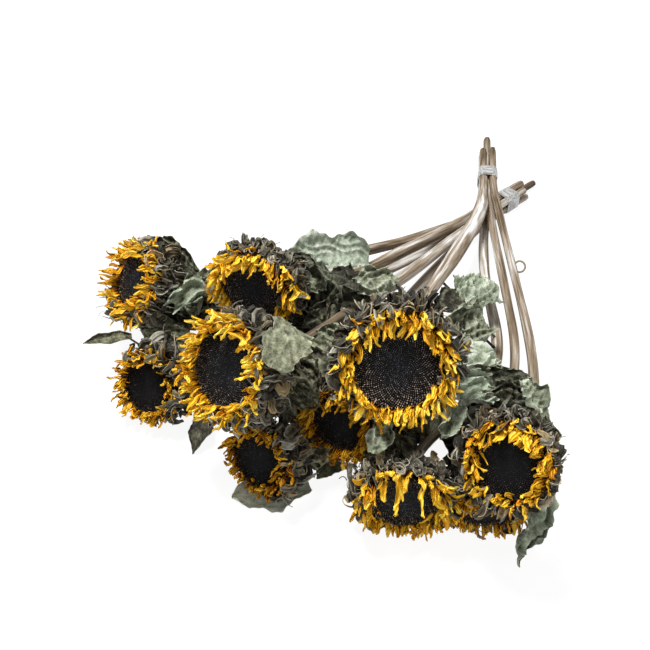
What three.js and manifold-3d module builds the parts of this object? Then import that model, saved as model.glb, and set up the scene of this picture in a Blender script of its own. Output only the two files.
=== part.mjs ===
// A bunch of ten dried sunflowers lying on a table: two tied bundles of five stems that cross near
// their cut ends, with the heads fanned out and piled two deep. Millimetres, +Z up; the flowers
// face -Y, and the origin is the middle of the bottom of the bunch's box.
import * as THREE from "three";
import { mergeVertices } from "three/addons/utils/BufferGeometryUtils.js";
import Module from "manifold-3d";

const wasm = await Module();
wasm.setup();
const { Manifold } = wasm;

// ---- Driving dimensions -------------------------------------------------------------------

const GAP = 0.35; // between pieces that touch on the real flower
const ROUNDING = 0.01; // how far a measured gap may fall short of it
const STEM_RADIUS = 3;
const STEM_SIDES = 6;
const STEM_STEPS = 13;
const NECK = 12; // how far a stem runs straight behind its head
const PITCH = 2 * STEM_RADIUS + GAP; // between neighbouring stems in a bundle
const TIE_WIDTH = 12;
const TIE_THICKNESS = 0.9;
const TIE_FLATS = 20;
const STRAIGHT = 21; // how far to each side of a tie's middle the stems run straight

const DISC_DEPTH = 5; // from the face plane down to the floor of the head
const DISC_EDGE = 1; // from the face plane down to the disc's edge
const DOME = 1.5; // how far the disc's middle stands above its edge
const SEED_PITCH = 4.7; // between rings of seeds, which are drawn larger than life
const SEED_RISE = 1.1; // how far each seed stands out of the disc
const RING_WIDTH = 3.4; // the rim that carries the ray petals
const RING_SLOPE = 0.6; // how much narrower the rim's top is than its foot
const RIM_DROP = 2; // from the face plane down to the rim's top
const HEAD_DEPTH = 20; // from the face plane back to the stem
const HEAD_SHOULDER = 9; // from the face plane back to where the head is widest
const HEAD_OVERHANG = 4.6; // how far the widest place stands out past the disc
const USUAL_DISC = 24; // the disc radius that the petals' and bracts' sizes are given for

const BLADE_THICKNESS = 1.1; // of petals and bracts
const FOLD = 0.5; // width of a blade's front, as a share of its back
const LEAF_THICKNESS = 1.1;
const PETIOLE_RADIUS = 1.1;
const CURL_RADIUS = 4.4;
const SIBLING_GAP = 0.2; // between the petals or bracts of one head
const PRESS = 1.5; // how deep a tip may be pressed flat against the table

// Each tied bundle: where the lowest stems of its tie are, and the way its stems run out of the
// tie towards the flowers. Bundle a crosses over bundle b, which lies on the table.
const BUNDLES = {
  a: { at: [152, 316, 19], out: [-0.13, -1, 0.03], tail: 68 },
  b: { at: [170, 301, STEM_RADIUS + GAP + TIE_THICKNESS], out: [-0.75, -0.66, 0], tail: 46 },
};

// Where the five stems of a bundle sit in the tie, as [across, up] in stem pitches.
const SLOTS = {
  low_left: [-0.71, 0],
  low_right: [0.71, 0],
  middle: [0, 0.71],
  high_left: [-0.71, 1.42],
  high_right: [0.71, 1.42],
};

// The flowers. at: the middle of the face. yaw: turned from -Y towards +X. pitch: above level.
// disc: the disc's radius. petals, bracts: how many in each of two rows. slot: the stem's place in
// its bundle. cut: how far the stem's end stops short of the longest. via: points that the stem
// passes on its way. curl: how far along the stem a dried stalk has curled into a ring on it.
const FLOWERS = [
  { id: "1", at: [-143, 132, 60], yaw: -55, pitch: 38, disc: 21, petals: 9, bracts: 7,
    bundle: "b", slot: "low_left", cut: 0,
    via: [[118, 267, 6], [64, 217, 27], [-20, 168, 46], [-84, 148, 52]] },
  { id: "2", at: [-127, 50, 31.5], yaw: -25, pitch: 34, disc: 18, petals: 10, bracts: 7,
    bundle: "b", slot: "middle", cut: 24,
    via: [[122, 256, 8], [62, 205, 13], [-20, 150, 18], [-79, 100, 22]] },
  { id: "3", at: [-50, 92, 90], yaw: -16, pitch: 6, disc: 23, petals: 11, bracts: 8,
    bundle: "b", slot: "high_left", cut: 20, via: [[121, 258, 16], [66, 194, 38], [10, 132, 64]] },
  { id: "4", at: [-62, 8, 98], yaw: -46, pitch: 33, disc: 26, petals: 12, bracts: 8,
    bundle: "b", slot: "high_right", cut: 27, via: [[125, 249, 16], [70, 172, 34], [0, 76, 66]] },
  { id: "5", at: [-44, -14, 31], yaw: -37, pitch: 24, disc: 19, petals: 9, bracts: 6,
    bundle: "b", slot: "low_right", cut: 22, via: [[127, 248, 6], [80, 178, 13], [4, 62, 20]] },
  { id: "6", at: [44, -3, 114], yaw: -5, pitch: 34, disc: 28, petals: 13, bracts: 10,
    bundle: "a", slot: "high_left", cut: 28, via: [[136, 245, 43], [108, 172, 60], [68, 82, 82]] },
  { id: "7", at: [10, 4, 46], yaw: -30, pitch: 14, disc: 19, petals: 8, bracts: 6,
    bundle: "a", slot: "low_left", cut: 26, via: [[131, 245, 33], [92, 160, 42], [44, 66, 42]] },
  { id: "8", at: [50, -51, 37.5], yaw: -3, pitch: 4, disc: 23, petals: 10, bracts: 8,
    bundle: "a", slot: "low_right", cut: 29, via: [[140, 244, 24], [129, 168, 34], [122, 56, 38]] },
  { id: "9", at: [106, -62, 93], yaw: -32, pitch: 30, disc: 21, petals: 10, bracts: 8,
    bundle: "a", slot: "high_right", cut: 25, curl: 0.463,
    via: [[151, 244, 38], [150, 156, 44], [146, 64, 56], [137, 10, 68]] },
  { id: "10", at: [104, -52, 27.5], yaw: -2, pitch: -10, disc: 18, petals: 7, bracts: 5,
    bundle: "a", slot: "middle", cut: 0, via: [[144.5, 244, 32.6], [142, 150, 38], [137, 60, 40]] },
];

// The leaves. root, tip: the ends of the midrib. face: the way its upper side looks. width: across
// the widest place. bow: how far the midrib arches towards the face. cup: how far the edges rise
// towards the face. crumple: depth of the folds. stem: the flower whose stem carries it.
const LEAVES = [
  { id: "upper", root: [32, 164, 54], tip: [-22, 146, 68], face: [0.1, -0.7, 0.7],
    width: 46, bow: 5, cup: 4, crumple: 5, stem: "3" },
  { id: "between", root: [55, 125, 66], tip: [15, 112, 74], face: [0, -0.6, 0.8],
    width: 26, bow: 5, cup: -5, crumple: 4, stem: "4" },
  { id: "right_1", root: [136, 140, 56], tip: [103, 112, 60], face: [-0.3, -0.5, 0.85],
    width: 38, bow: 6, cup: -4, crumple: 6, stem: "8" },
  { id: "right_2", root: [128, 92, 58], tip: [94, 80, 66], face: [0, -0.5, 0.85],
    width: 28, bow: 5, cup: 5, crumple: 6, stem: "8" },
  { id: "right_3", root: [124, 58, 62], tip: [94, 26, 66], face: [-0.1, -0.5, 0.85],
    width: 30, bow: 5, cup: -5, crumple: 6, stem: "8" },
  { id: "right_4", root: [120, 20, 74], tip: [88, 2, 74], face: [0.1, -0.4, 0.9],
    width: 24, bow: 4, cup: 5, crumple: 5, stem: "9" },
  { id: "right_edge", root: [127, 10, 84], tip: [139, -14, 74], face: [0.4, -0.6, 0.7],
    width: 18, bow: 4, cup: 4, crumple: 4, stem: "9" },
  { id: "shield", root: [-14, 32, 116], tip: [-31, -14, 118], face: [0.1, -0.7, 0.72],
    width: 34, bow: 2, cup: 2, crumple: 2.4, stem: "4" },
  { id: "floor", root: [-12, -8, -0.8], tip: [-60, -30, -0.8], face: [0, 0, 1],
    width: 34, bow: 0, cup: 4, crumple: 1.2, stem: "5" },
  { id: "left_tip", root: [-147, 103, 30], tip: [-184, 97, 28], face: [0, -0.5, 0.85],
    width: 12, bow: 2, cup: 3, crumple: 1, stem: "2" },
  { id: "left_low", root: [-84, 44, 14], tip: [-94, 13, 2], face: [-0.2, -0.8, 0.6],
    width: 18, bow: 2, cup: 3, crumple: 1.5, stem: "2" },
  { id: "left_back", root: [-90, 116, 74], tip: [-116, 98, 62], face: [0.1, -0.7, 0.7],
    width: 22, bow: 5, cup: 4, crumple: 3, stem: "1" },
  { id: "crown", root: [-106, 152, 70], tip: [-135, 172, 76], face: [-0.1, -0.6, 0.8],
    width: 16, bow: 5, cup: 4, crumple: 3, stem: "1" },
  { id: "right_low", root: [136, -48, 46], tip: [122, -64, 5], face: [0.3, -0.9, 0.3],
    width: 22, bow: 5, cup: 6, crumple: 3, stem: "9" },
  { id: "middle", root: [84, -14, 90], tip: [66, -38, 78], face: [0.1, -0.8, 0.6],
    width: 18, bow: 4, cup: 5, crumple: 3, stem: "6" },
  { id: "centre_low", root: [40, -14, 76], tip: [28, -40, 68], face: [0, -0.6, 0.8],
    width: 18, bow: 3, cup: 3, crumple: 2, stem: "7" },
  { id: "centre_floor", root: [12, 16, -0.8], tip: [-6, -8, -0.8], face: [0, 0, 1],
    width: 20, bow: 0, cup: 3, crumple: 1, stem: "7" },
];

const COLOURS = {
  disc: { color: 0x1a1512, roughness: 0.8, metalness: 0 },
  rays: { color: 0xe9a112, roughness: 0.7, metalness: 0 },
  calyx: { color: 0x6f6a58, roughness: 0.9, metalness: 0 },
  stem: { color: 0xa39784, roughness: 0.85, metalness: 0 },
  leaf: { color: 0x8a957c, roughness: 0.9, metalness: 0 },
  tie: { color: 0xdfe3e6, roughness: 0.35, metalness: 0 },
};

// ---- Small tools --------------------------------------------------------------------------

const vec = (a) => new THREE.Vector3(...a);
const radians = THREE.MathUtils.degToRad;
const { lerp } = THREE.MathUtils;
const UP = new THREE.Vector3(0, 0, 1);

// A random source that gives the same draws each run.
function seeded(seed) {
  let state = seed;
  const next = () => {
    state = (state * 1664525 + 1013904223) % 4294967296;
    return state / 4294967296;
  };
  return { between: (low, high) => lerp(low, high, next()) };
}

// A closed three.js geometry as a solid.
function solid(geometry) {
  const bare = new THREE.BufferGeometry();
  bare.setAttribute("position", geometry.getAttribute("position"));
  bare.setIndex(geometry.index);
  const merged = mergeVertices(bare, 1e-4);
  return new Manifold(
    new wasm.Mesh({
      numProp: 3,
      vertProperties: merged.attributes.position.array,
      triVerts: new Uint32Array(merged.index.array),
    }),
  );
}

// A solid as a three.js geometry.
function geometryOf(made) {
  const mesh = made.getMesh();
  const points = new Float32Array(mesh.numVert * 3);
  for (let i = 0; i < mesh.numVert; i++) {
    points.set(mesh.vertProperties.subarray(i * mesh.numProp, i * mesh.numProp + 3), i * 3);
  }
  const geometry = new THREE.BufferGeometry();
  geometry.setAttribute("position", new THREE.BufferAttribute(points, 3));
  geometry.setIndex(new THREE.BufferAttribute(mesh.triVerts, 1));
  geometry.computeVertexNormals();
  return geometry;
}

const middleOf = (points) =>
  points.reduce((sum, p) => sum.add(p), new THREE.Vector3()).divideScalar(points.length);

// The faces between two rings of four corners, back side first, then front. The front is split like
// the back, so that both sides of a thin waved blade stay parallel.
function joined(from, to) {
  const faces = [];
  for (let j = 0; j < 4; j++) {
    const k = (j + 1) % 4;
    if (j === 2) faces.push(from[j], from[k], to[j], from[k], to[k], to[j]);
    else faces.push(from[j], from[k], to[k], from[j], to[k], to[j]);
  }
  return faces;
}

// A solid from corner points and triangles.
function solidOf(points, faces) {
  const geometry = new THREE.BufferGeometry();
  const flat = points.flatMap((p) => p.toArray());
  geometry.setAttribute("position", new THREE.Float32BufferAttribute(flat, 3));
  geometry.setIndex(faces);
  return rightWayOut(geometry);
}

// The solid of a closed geometry, whose faces are all turned where they point in.
function rightWayOut(geometry) {
  const made = solid(geometry);
  if (made.volume() > 0) return made;
  const index = geometry.index.array;
  for (let i = 0; i < index.length; i += 3) {
    [index[i + 1], index[i + 2]] = [index[i + 2], index[i + 1]];
  }
  return solid(geometry);
}

// The piece with whatever reaches below the table cut off, as one body.
function pressed(made) {
  const bodies = made.trimByPlane([0, 0, 1], 0).decompose();
  return bodies.reduce((most, body) => (body.volume() > most.volume() ? body : most));
}

function addPiece(name, kind, made, group, inverse) {
  const cleaned = made.simplify(0.02);
  const local = inverse ? cleaned.transform(inverse.elements) : cleaned;
  const mesh = new THREE.Mesh(geometryOf(local), new THREE.MeshStandardMaterial(COLOURS[kind]));
  mesh.name = name;
  group.add(mesh);
  pieces.push(made);
}

// ---- The clear-space rule -----------------------------------------------------------------

const placed = []; // solids that later pieces have to stay clear of, in the bunch's frame

function isClear(made, besides) {
  const box = made.boundingBox();
  if (box.min[2] < -PRESS) return false;
  return placed.every(({ made: other, box: near, owner }) => {
    if (owner === besides) return true;
    const between = [0, 1, 2].map((i) => Math.max(box.min[i] - near.max[i], near.min[i] - box.max[i]));
    return Math.max(...between) > GAP || made.minGap(other, GAP) >= GAP - ROUNDING;
  });
}

function keepClearOf(made, owner) {
  placed.push({ made, box: made.boundingBox(), owner });
}

// ---- Blades: ray petals and bracts --------------------------------------------------------

// Where along its length a blade's sections stand, and its width there as a share of the widest.
const STATIONS = [0.38, 0.74, 1];

// A thin curled blade as its sections and tip. It grows from root, heads off at tilt from outward
// towards +Z, turns by curl and swings by sway over its length, while its width turns by twist.
function bladeSections({ root, outward, length, width, taper, tilt, curl, sway, twist }) {
  const across = new THREE.Vector3().crossVectors(UP, outward).normalize();
  const centre = root.clone();
  const sections = [];
  let from = 0;
  for (const along of STATIONS) {
    const angle = tilt + (curl * (along + from)) / 2;
    const heading = outward.clone().multiplyScalar(Math.cos(angle));
    heading.addScaledVector(UP, Math.sin(angle)).addScaledVector(across, sway * along).normalize();
    centre.addScaledVector(heading, (along - from) * length);
    if (along < 1) {
      const side = across.clone().applyAxisAngle(heading, twist * along);
      const front = new THREE.Vector3().crossVectors(heading, side).normalize();
      const half = (width / 2) * (1 - taper * Math.max(0, (along + from) / 2 - STATIONS[0] / 2));
      const corner = (aside, ahead) => {
        const along = centre.clone().addScaledVector(side, aside * half);
        return along.addScaledVector(front, (ahead * BLADE_THICKNESS) / 2);
      };
      sections.push([corner(-1, -1), corner(1, -1), corner(FOLD, 1), corner(-FOLD, 1)]);
    }
    from = along;
  }
  return { sections, tip: centre };
}

// The blade alone, for testing what is in its way, with its foot drawn in by a share of its size.
function bladeAlone(facet, { sections, tip }, drawnIn) {
  const foot = facet.map((p) => p.clone().lerp(middleOf(facet), drawnIn));
  const points = [foot, ...sections].flat();
  points.push(tip);
  const last = points.length - 1;
  const faces = [0, 2, 1, 0, 3, 2];
  for (let i = 4; i < last; i += 4) {
    faces.push(...joined([i - 4, i - 3, i - 2, i - 1], [i, i + 1, i + 2, i + 3]));
  }
  for (let j = 4; j > 0; j--) faces.push(last - j, last - (j === 1 ? 4 : j - 1), last);
  return solidOf(points, faces);
}

// Ways to bend a blade that is in something's way, the gentlest first: [added tilt, share of length].
const BENDS = [[0, 1], [0.3, 0.95], [-0.3, 0.95], [0.6, 0.9], [-0.6, 0.9], [0.2, 0.75], [-0.2, 0.75],
  [0.9, 0.75], [-0.9, 0.75], [0.3, 0.55], [-0.3, 0.55], [0.8, 0.5]];

// A body turned about +Z whose facets can each grow a blade. profile: [radius, height] pairs from
// back to front. rows: the facet step that each row of blades grows from, and how they grow.
function grown({ profile, closed, sides, rows, random, frame, owner }) {
  const steps = closed ? profile.length : profile.length - 1;
  const corner = (i, k) => {
    const angle = ((i % sides) / sides) * 2 * Math.PI;
    const [radius, height] = profile[k % profile.length];
    return new THREE.Vector3(radius * Math.cos(angle), radius * Math.sin(angle), height);
  };
  const points = [];
  const faces = [];
  for (let i = 0; i < sides; i++) for (let k = 0; k < profile.length; k++) points.push(corner(i, k));
  const index = (i, k) => (i % sides) * profile.length + (k % profile.length);

  const blades = new Map();
  const alone = [];
  for (const row of rows) {
    for (let i = row.first; i < sides; i += row.every) {
      const [back, front] = [row.step, row.step + 1];
      const facet = [corner(i, back), corner(i + 1, back), corner(i + 1, front), corner(i, front)];
      const root = middleOf(facet);
      const form = {
        root,
        outward: new THREE.Vector3(root.x, root.y, 0).normalize(),
        length: row.length * random.between(0.8, 1.15),
        width: row.width * random.between(0.85, 1.15),
        taper: row.taper,
        tilt: radians(random.between(...row.tilt)),
        curl: radians(random.between(...row.curl)),
        sway: random.between(-row.sway, row.sway),
        twist: radians(random.between(-row.twist, row.twist)),
      };
      for (const [tilt, share] of BENDS) {
        const blade = bladeSections({ ...form, tilt: form.tilt + tilt, length: form.length * share });
        // Neighbours on the same body share its corners, so their feet are drawn in.
        const among = bladeAlone(facet, blade, 0.4);
        if (alone.some((other) => other.minGap(among, SIBLING_GAP) < SIBLING_GAP)) continue;
        if (!isClear(bladeAlone(facet, blade, 0).transform(frame.elements), owner)) continue;
        alone.push(among);
        blades.set(`${i},${row.step}`, blade);
        break;
      }
    }
  }

  for (let i = 0; i < sides; i++) {
    for (let k = 0; k < steps; k++) {
      const facet = [index(i, k), index(i + 1, k), index(i + 1, k + 1), index(i, k + 1)];
      const blade = blades.get(`${i},${k}`);
      if (!blade) {
        faces.push(facet[0], facet[1], facet[2], facet[0], facet[2], facet[3]);
        continue;
      }
      let foot = facet;
      for (const section of blade.sections) {
        const next = section.map((p) => points.push(p) - 1);
        faces.push(...joined(foot, next));
        foot = next;
      }
      const tip = points.push(blade.tip) - 1;
      for (let j = 0; j < 4; j++) faces.push(foot[j], foot[(j + 1) % 4], tip);
    }
  }
  return pressed(solidOf(points, faces).transform(frame.elements));
}

// The rim round the disc that the ray petals grow from. Its flats clear the disc's corners.
function rimOf(flower) {
  const sides = 2 * flower.petals;
  const inner = (flower.disc + GAP) / Math.cos(Math.PI / sides);
  const outer = flower.disc + GAP + RING_WIDTH;
  return {
    profile: [
      [inner, -DISC_DEPTH],
      [outer, -DISC_DEPTH],
      [outer - RING_SLOPE, -RIM_DROP],
      [inner, -RIM_DROP],
    ],
    closed: true,
    sides,
  };
}

// The size of a flower's petals and bracts. They vary less than its disc does.
const bladeSize = (flower) => lerp(1, flower.disc / USUAL_DISC, 0.6);

// Ray petals: an inner row that leans in over the disc, and an outer one that stands open.
function rayRows(flower) {
  const size = bladeSize(flower);
  const shared = { every: 2, width: 7.5 * size, taper: 0.7, sway: 0.4, twist: 40 };
  return [
    { ...shared, step: 2, first: 0, length: 15 * size, tilt: [76, 98], curl: [0, 70] },
    { ...shared, step: 1, first: 1, length: 17 * size, tilt: [36, 60], curl: [-20, 90] },
  ];
}

// The swollen back of the head, from the stem up to the floor of the disc.
function backOf(flower) {
  const widest = flower.disc + HEAD_OVERHANG;
  const floor = -DISC_DEPTH - GAP;
  const belly = -(HEAD_DEPTH + HEAD_SHOULDER) / 2;
  return {
    profile: [
      [0, -HEAD_DEPTH],
      [STEM_RADIUS * 1.4, -HEAD_DEPTH],
      [widest * 0.75, belly],
      [widest, -HEAD_SHOULDER],
      [widest - RING_SLOPE, floor],
      [0, floor],
    ],
    closed: false,
    sides: 2 * flower.bracts,
  };
}

// Bracts: an upper row that curls up behind the petals, and a lower one that curls back.
function bractRows(flower) {
  const size = bladeSize(flower);
  const shared = { every: 2, width: 9 * size, taper: 0.9, sway: 0.5, twist: 50, length: 18 * size };
  return [
    { ...shared, step: 3, first: 0, tilt: [5, 35], curl: [30, 130] },
    { ...shared, step: 2, first: 1, tilt: [-25, 5], curl: [-60, 90] },
  ];
}

// ---- The head's solid parts ---------------------------------------------------------------

// The seed disc, a low dome whose face is raised in staggered bumps, as rows of seeds are.
function disc(flower) {
  const rings = Math.round(flower.disc / SEED_PITCH);
  const sides = 2 * Math.round((2 * flower.disc) / SEED_PITCH);
  const wall = [[0, -DISC_DEPTH], [flower.disc, -DISC_DEPTH], [flower.disc, -DISC_EDGE]];
  const profile = [...wall];
  for (let i = rings; i >= 0; i--) {
    const drawnIn = i === rings ? 0.35 : 0; // the outermost seeds stand in from the edge
    profile.push([(flower.disc * (i - drawnIn)) / rings, 0]);
  }
  const geometry = new THREE.LatheGeometry(profile.map((p) => new THREE.Vector2(...p)), sides);
  const position = geometry.getAttribute("position");
  for (let i = 0; i < position.count; i++) {
    const row = i % profile.length;
    const spoke = Math.floor(i / profile.length);
    if (row < wall.length) continue;
    const radius = profile[row][0] / flower.disc;
    const raised = (row + spoke) % 2 && radius > 0 ? SEED_RISE : 0;
    position.setY(i, DOME * (1 - radius ** 2) + raised);
  }
  geometry.rotateX(Math.PI / 2);
  return rightWayOut(geometry);
}

// ---- Stems and ties -----------------------------------------------------------------------

function bundleFrame(bundle) {
  const out = vec(bundle.out).normalize();
  const across = new THREE.Vector3().crossVectors(UP, out).normalize();
  const up = new THREE.Vector3().crossVectors(out, across).normalize();
  return { out, across, up, at: vec(bundle.at) };
}

function slotPoint({ at, across, up, out }, slot, along) {
  const [side, rise] = SLOTS[slot];
  const point = at.clone().addScaledVector(out, along);
  return point.addScaledVector(across, side * PITCH).addScaledVector(up, rise * PITCH);
}

function stemPath(flower, frame) {
  const bundle = BUNDLES[flower.bundle];
  const place = bundleFrame(bundle);
  const back = vec([0, 0, -HEAD_DEPTH - GAP]).applyMatrix4(frame);
  const neck = vec([0, 0, -HEAD_DEPTH - NECK]).applyMatrix4(frame);
  const along = [flower.cut - bundle.tail, -STRAIGHT, STRAIGHT];
  return new THREE.CatmullRomCurve3([
    ...along.map((d) => slotPoint(place, flower.slot, d)),
    ...flower.via.map(vec),
    neck,
    back,
  ], false, "centripetal");
}

// The straight stretches that the stem's sides run along.
function chordsOf(path) {
  const points = path.getSpacedPoints(STEM_STEPS);
  const chords = new THREE.CurvePath();
  for (let i = 0; i < STEM_STEPS; i++) chords.add(new THREE.LineCurve3(points[i], points[i + 1]));
  return chords;
}

function stem(path) {
  const corners = Array.from({ length: STEM_SIDES }, (_, i) => {
    const angle = (i / STEM_SIDES) * 2 * Math.PI;
    return new THREE.Vector2(STEM_RADIUS * Math.cos(angle), STEM_RADIUS * Math.sin(angle));
  });
  const section = new THREE.Shape(corners);
  return solid(new THREE.ExtrudeGeometry(section, { steps: STEM_STEPS, extrudePath: path }));
}

// A dried leaf stalk that has curled into a ring on the stem's right side.
function curledStalk(path, share) {
  const ring = new THREE.TorusGeometry(CURL_RADIUS, PETIOLE_RADIUS, 5, 12);
  ring.rotateX(Math.PI / 4);
  const { x, y, z } = path.getPointAt(share);
  ring.translate(x + STEM_RADIUS + CURL_RADIUS - 1.5 * PETIOLE_RADIUS, y, z);
  return solid(ring);
}

// The outline of the stems held together, grown by margin, as a rounded loop of flats.
function bundleOutline(margin) {
  const stems = Object.values(SLOTS).map((slot) => new THREE.Vector2(...slot).multiplyScalar(PITCH));
  const flats = Array.from({ length: TIE_FLATS }, (_, i) => {
    const angle = (i / TIE_FLATS) * 2 * Math.PI;
    const way = new THREE.Vector2(Math.cos(angle), Math.sin(angle));
    return { way, reach: Math.max(...stems.map((p) => way.dot(p))) + STEM_RADIUS + margin };
  });
  return flats.map(({ way, reach }, i) => {
    // The corner where this flat and the next one meet.
    const next = flats[(i + 1) % TIE_FLATS];
    const turn = way.x * next.way.y - way.y * next.way.x;
    return new THREE.Vector2(
      (reach * next.way.y - next.reach * way.y) / turn,
      (next.reach * way.x - reach * next.way.x) / turn,
    );
  });
}

// The band of clear tape round a bundle.
function tie() {
  const band = new THREE.Shape(bundleOutline(GAP + TIE_THICKNESS));
  band.holes.push(new THREE.Path(bundleOutline(GAP)));
  return solid(new THREE.ExtrudeGeometry(band, { depth: TIE_WIDTH, bevelEnabled: false }));
}

// ---- Leaves -------------------------------------------------------------------------------

const BIG_LEAF = 25; // a leaf wider than this is drawn with more folds
const LAG = 0.08; // how far a leaf's edges lie back from its midrib, as a share, fading out at the tip
const BLUNT_TIP = 0.06; // half the leaf's breadth at its very tip, as a share of its width

// Half the leaf's breadth along its midrib, as a share of its width: heart-shaped with cut edges.
function leafOutline(along, lobe) {
  const heart = Math.sin(Math.PI * Math.min(1, along * 0.86 + 0.14)) ** 0.75;
  return 0.5 * heart * (1 + 0.12 * Math.cos(lobe + along * 14));
}

// The leaf's crumpled blade. Where it would go through the table it is pressed flat on it.
function leafBlade(leaf, move, draw) {
  const root = vec(leaf.root).add(move);
  const tip = vec(leaf.tip).add(move);
  const along = tip.clone().sub(root);
  const length = along.length();
  along.normalize();
  const face = vec(leaf.face).addScaledVector(along, -vec(leaf.face).dot(along)).normalize();
  const across = new THREE.Vector3().crossVectors(face, along);
  const random = seeded(draw);
  const phase = random.between(0, 6);
  const [rows, columns] = leaf.width > BIG_LEAF ? [6, 4] : [4, 2];
  const rings = [];
  for (let i = 0; i <= rows; i++) {
    const share = i / rows;
    const upper = [];
    const lower = [];
    for (let j = 0; j <= columns; j++) {
      const side = (j / columns) * 2 - 1;
      const half = Math.max(leafOutline(share, phase + 2 * side), BLUNT_TIP) * leaf.width;
      const wave = Math.sin(5.1 * share + 2.3 * side + phase) + random.between(-0.6, 0.6);
      const fold = 0.5 * leaf.crumple * wave * Math.abs(side);
      const lift = leaf.bow * 4 * share * (1 - share) + leaf.cup * side * side + fold;
      const reach = share * length * (1 - LAG * (1 - share) * side * side);
      const under = root.clone().addScaledVector(along, reach);
      under.addScaledVector(across, side * half).addScaledVector(face, lift - LEAF_THICKNESS / 2);
      under.z = Math.max(under.z, 0);
      upper.push(under.clone().addScaledVector(face, LEAF_THICKNESS));
      lower.push(under);
    }
    rings.push([...upper, ...lower.reverse()]);
  }
  // The stalk ends inside the blade, on the midrib.
  const midrib = [0, 1].map((i) => rings[i][columns / 2].clone().addScaledVector(face, -LEAF_THICKNESS / 2));
  const seat = midrib[0].lerp(midrib[1], 0.4);
  seat.z = Math.max(seat.z, PETIOLE_RADIUS);
  return { made: sheet(rings), root, seat };
}

// A closed sheet over rings that run along the upper side and back along the lower one.
function sheet(rings) {
  const sides = rings[0].length;
  const half = sides / 2;
  const points = rings.flat();
  const faces = [];
  for (let i = 0; i + 1 < rings.length; i++) {
    for (let j = 0; j < sides; j++) {
      const [a, b] = [i * sides + j, i * sides + ((j + 1) % sides)];
      const [c, d] = [a + sides, b + sides];
      // The lower side runs the other way, so its diagonals are mirrored to lie under the upper ones.
      if (j < half) faces.push(a, b, d, a, d, c);
      else faces.push(a, b, c, b, d, c);
    }
  }
  for (const [row, turned] of [[0, true], [rings.length - 1, false]]) {
    for (let j = 0; j + 1 < half; j++) {
      const [a, b] = [row * sides + j, row * sides + j + 1];
      const [c, d] = [row * sides + sides - 1 - j, row * sides + sides - 2 - j];
      if (turned) faces.push(a, d, b, a, c, d);
      else faces.push(a, b, d, a, d, c);
    }
  }
  return solidOf(points, faces);
}

// The leaf's stalk, from just clear of the stem to inside the leaf's base.
function petiole(foot, tangent, seat, sag, standoff) {
  const away = seat.clone().sub(foot);
  away.addScaledVector(tangent, -away.dot(tangent));
  const reach = away.length();
  away.normalize();
  const start = foot.clone().addScaledVector(away, STEM_RADIUS + GAP + standoff);
  const middle = start.clone().addScaledVector(away, reach * 0.4).add(new THREE.Vector3(0, 0, sag));
  const path = new THREE.QuadraticBezierCurve3(start, middle, seat);
  const section = new THREE.Shape();
  section.absarc(0, 0, PETIOLE_RADIUS, 0, 2 * Math.PI);
  return solid(new THREE.ExtrudeGeometry(section, { steps: 3, curveSegments: 5, extrudePath: path }));
}

// Small moves that are tried in turn until a leaf lies clear, from none to the longest.
const MOVES = [new THREE.Vector3()];
for (const step of [3, 6, 9, 13]) {
  for (const way of [[0, 0, 1], [0, 0, -1], [0, -1, 0], [0, 1, 0], [1, 0, 0], [-1, 0, 0]]) {
    MOVES.push(vec(way).multiplyScalar(step));
  }
}

// How a stalk may bend out of the way, as [sag, distance of its foot from the stem's corners].
const STALK_BENDS = [0, 5, -5, 12, -12].flatMap((sag) => [[sag, -0.4], [sag, -0.2], [sag, 0], [sag, 0.2]]);

const FEET_TRIED = 60;

// The leaf with its stalk, whose foot is put where the stem can be reached with nothing in the way.
function leafOn(leaf, chords, draw) {
  const feet = Array.from({ length: FEET_TRIED }, (_, i) => lerp(0.12, 0.96, i / FEET_TRIED));
  const onTable = leaf.root[2] < 1;
  for (const move of MOVES) {
    if (onTable && move.z !== 0) continue;
    const { made, root, seat } = leafBlade(leaf, move, draw);
    if (!isClear(made)) continue;
    const far = (share) => chords.getPointAt(share).distanceTo(root);
    feet.sort((a, b) => far(a) - far(b));
    for (const share of feet) {
      for (const [sag, standoff] of STALK_BENDS) {
        const stalk = petiole(chords.getPointAt(share), chords.getTangentAt(share), seat, sag, standoff);
        if (isClear(stalk)) return made.add(stalk);
      }
    }
  }
  throw new Error(`leaf ${leaf.id} has no clear place`);
}

// ---- The bunch ----------------------------------------------------------------------------

const bunch = new THREE.Group();
const pieces = [];

// Each flower's group, turned and moved so that its face looks along the group's own +Z.
for (const flower of FLOWERS) {
  flower.group = new THREE.Group();
  flower.group.position.set(...flower.at);
  flower.group.rotation.set(radians(90 - flower.pitch), 0, radians(flower.yaw), "ZXY");
  flower.group.updateMatrix();
  flower.frame = flower.group.matrix.clone();
  flower.inverse = flower.frame.clone().invert();
  bunch.add(flower.group);
}

// First what can't give way: discs, heads and stems.
for (const flower of FLOWERS) {
  const inPlace = (made) => made.transform(flower.frame.elements);
  flower.path = stemPath(flower, flower.frame);
  flower.chords = chordsOf(flower.path);
  flower.discSolid = inPlace(disc(flower));
  const bare = { rows: [], frame: flower.frame };
  flower.stemSolid = stem(flower.path);
  if (flower.curl) flower.stemSolid = flower.stemSolid.add(curledStalk(flower.path, flower.curl));
  keepClearOf(flower.discSolid, `disc_${flower.id}`);
  keepClearOf(grown({ ...rimOf(flower), ...bare }), `rays_${flower.id}`);
  keepClearOf(grown({ ...backOf(flower), ...bare }), `calyx_${flower.id}`);
  keepClearOf(flower.stemSolid, `stem_${flower.id}`);
}

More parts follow.
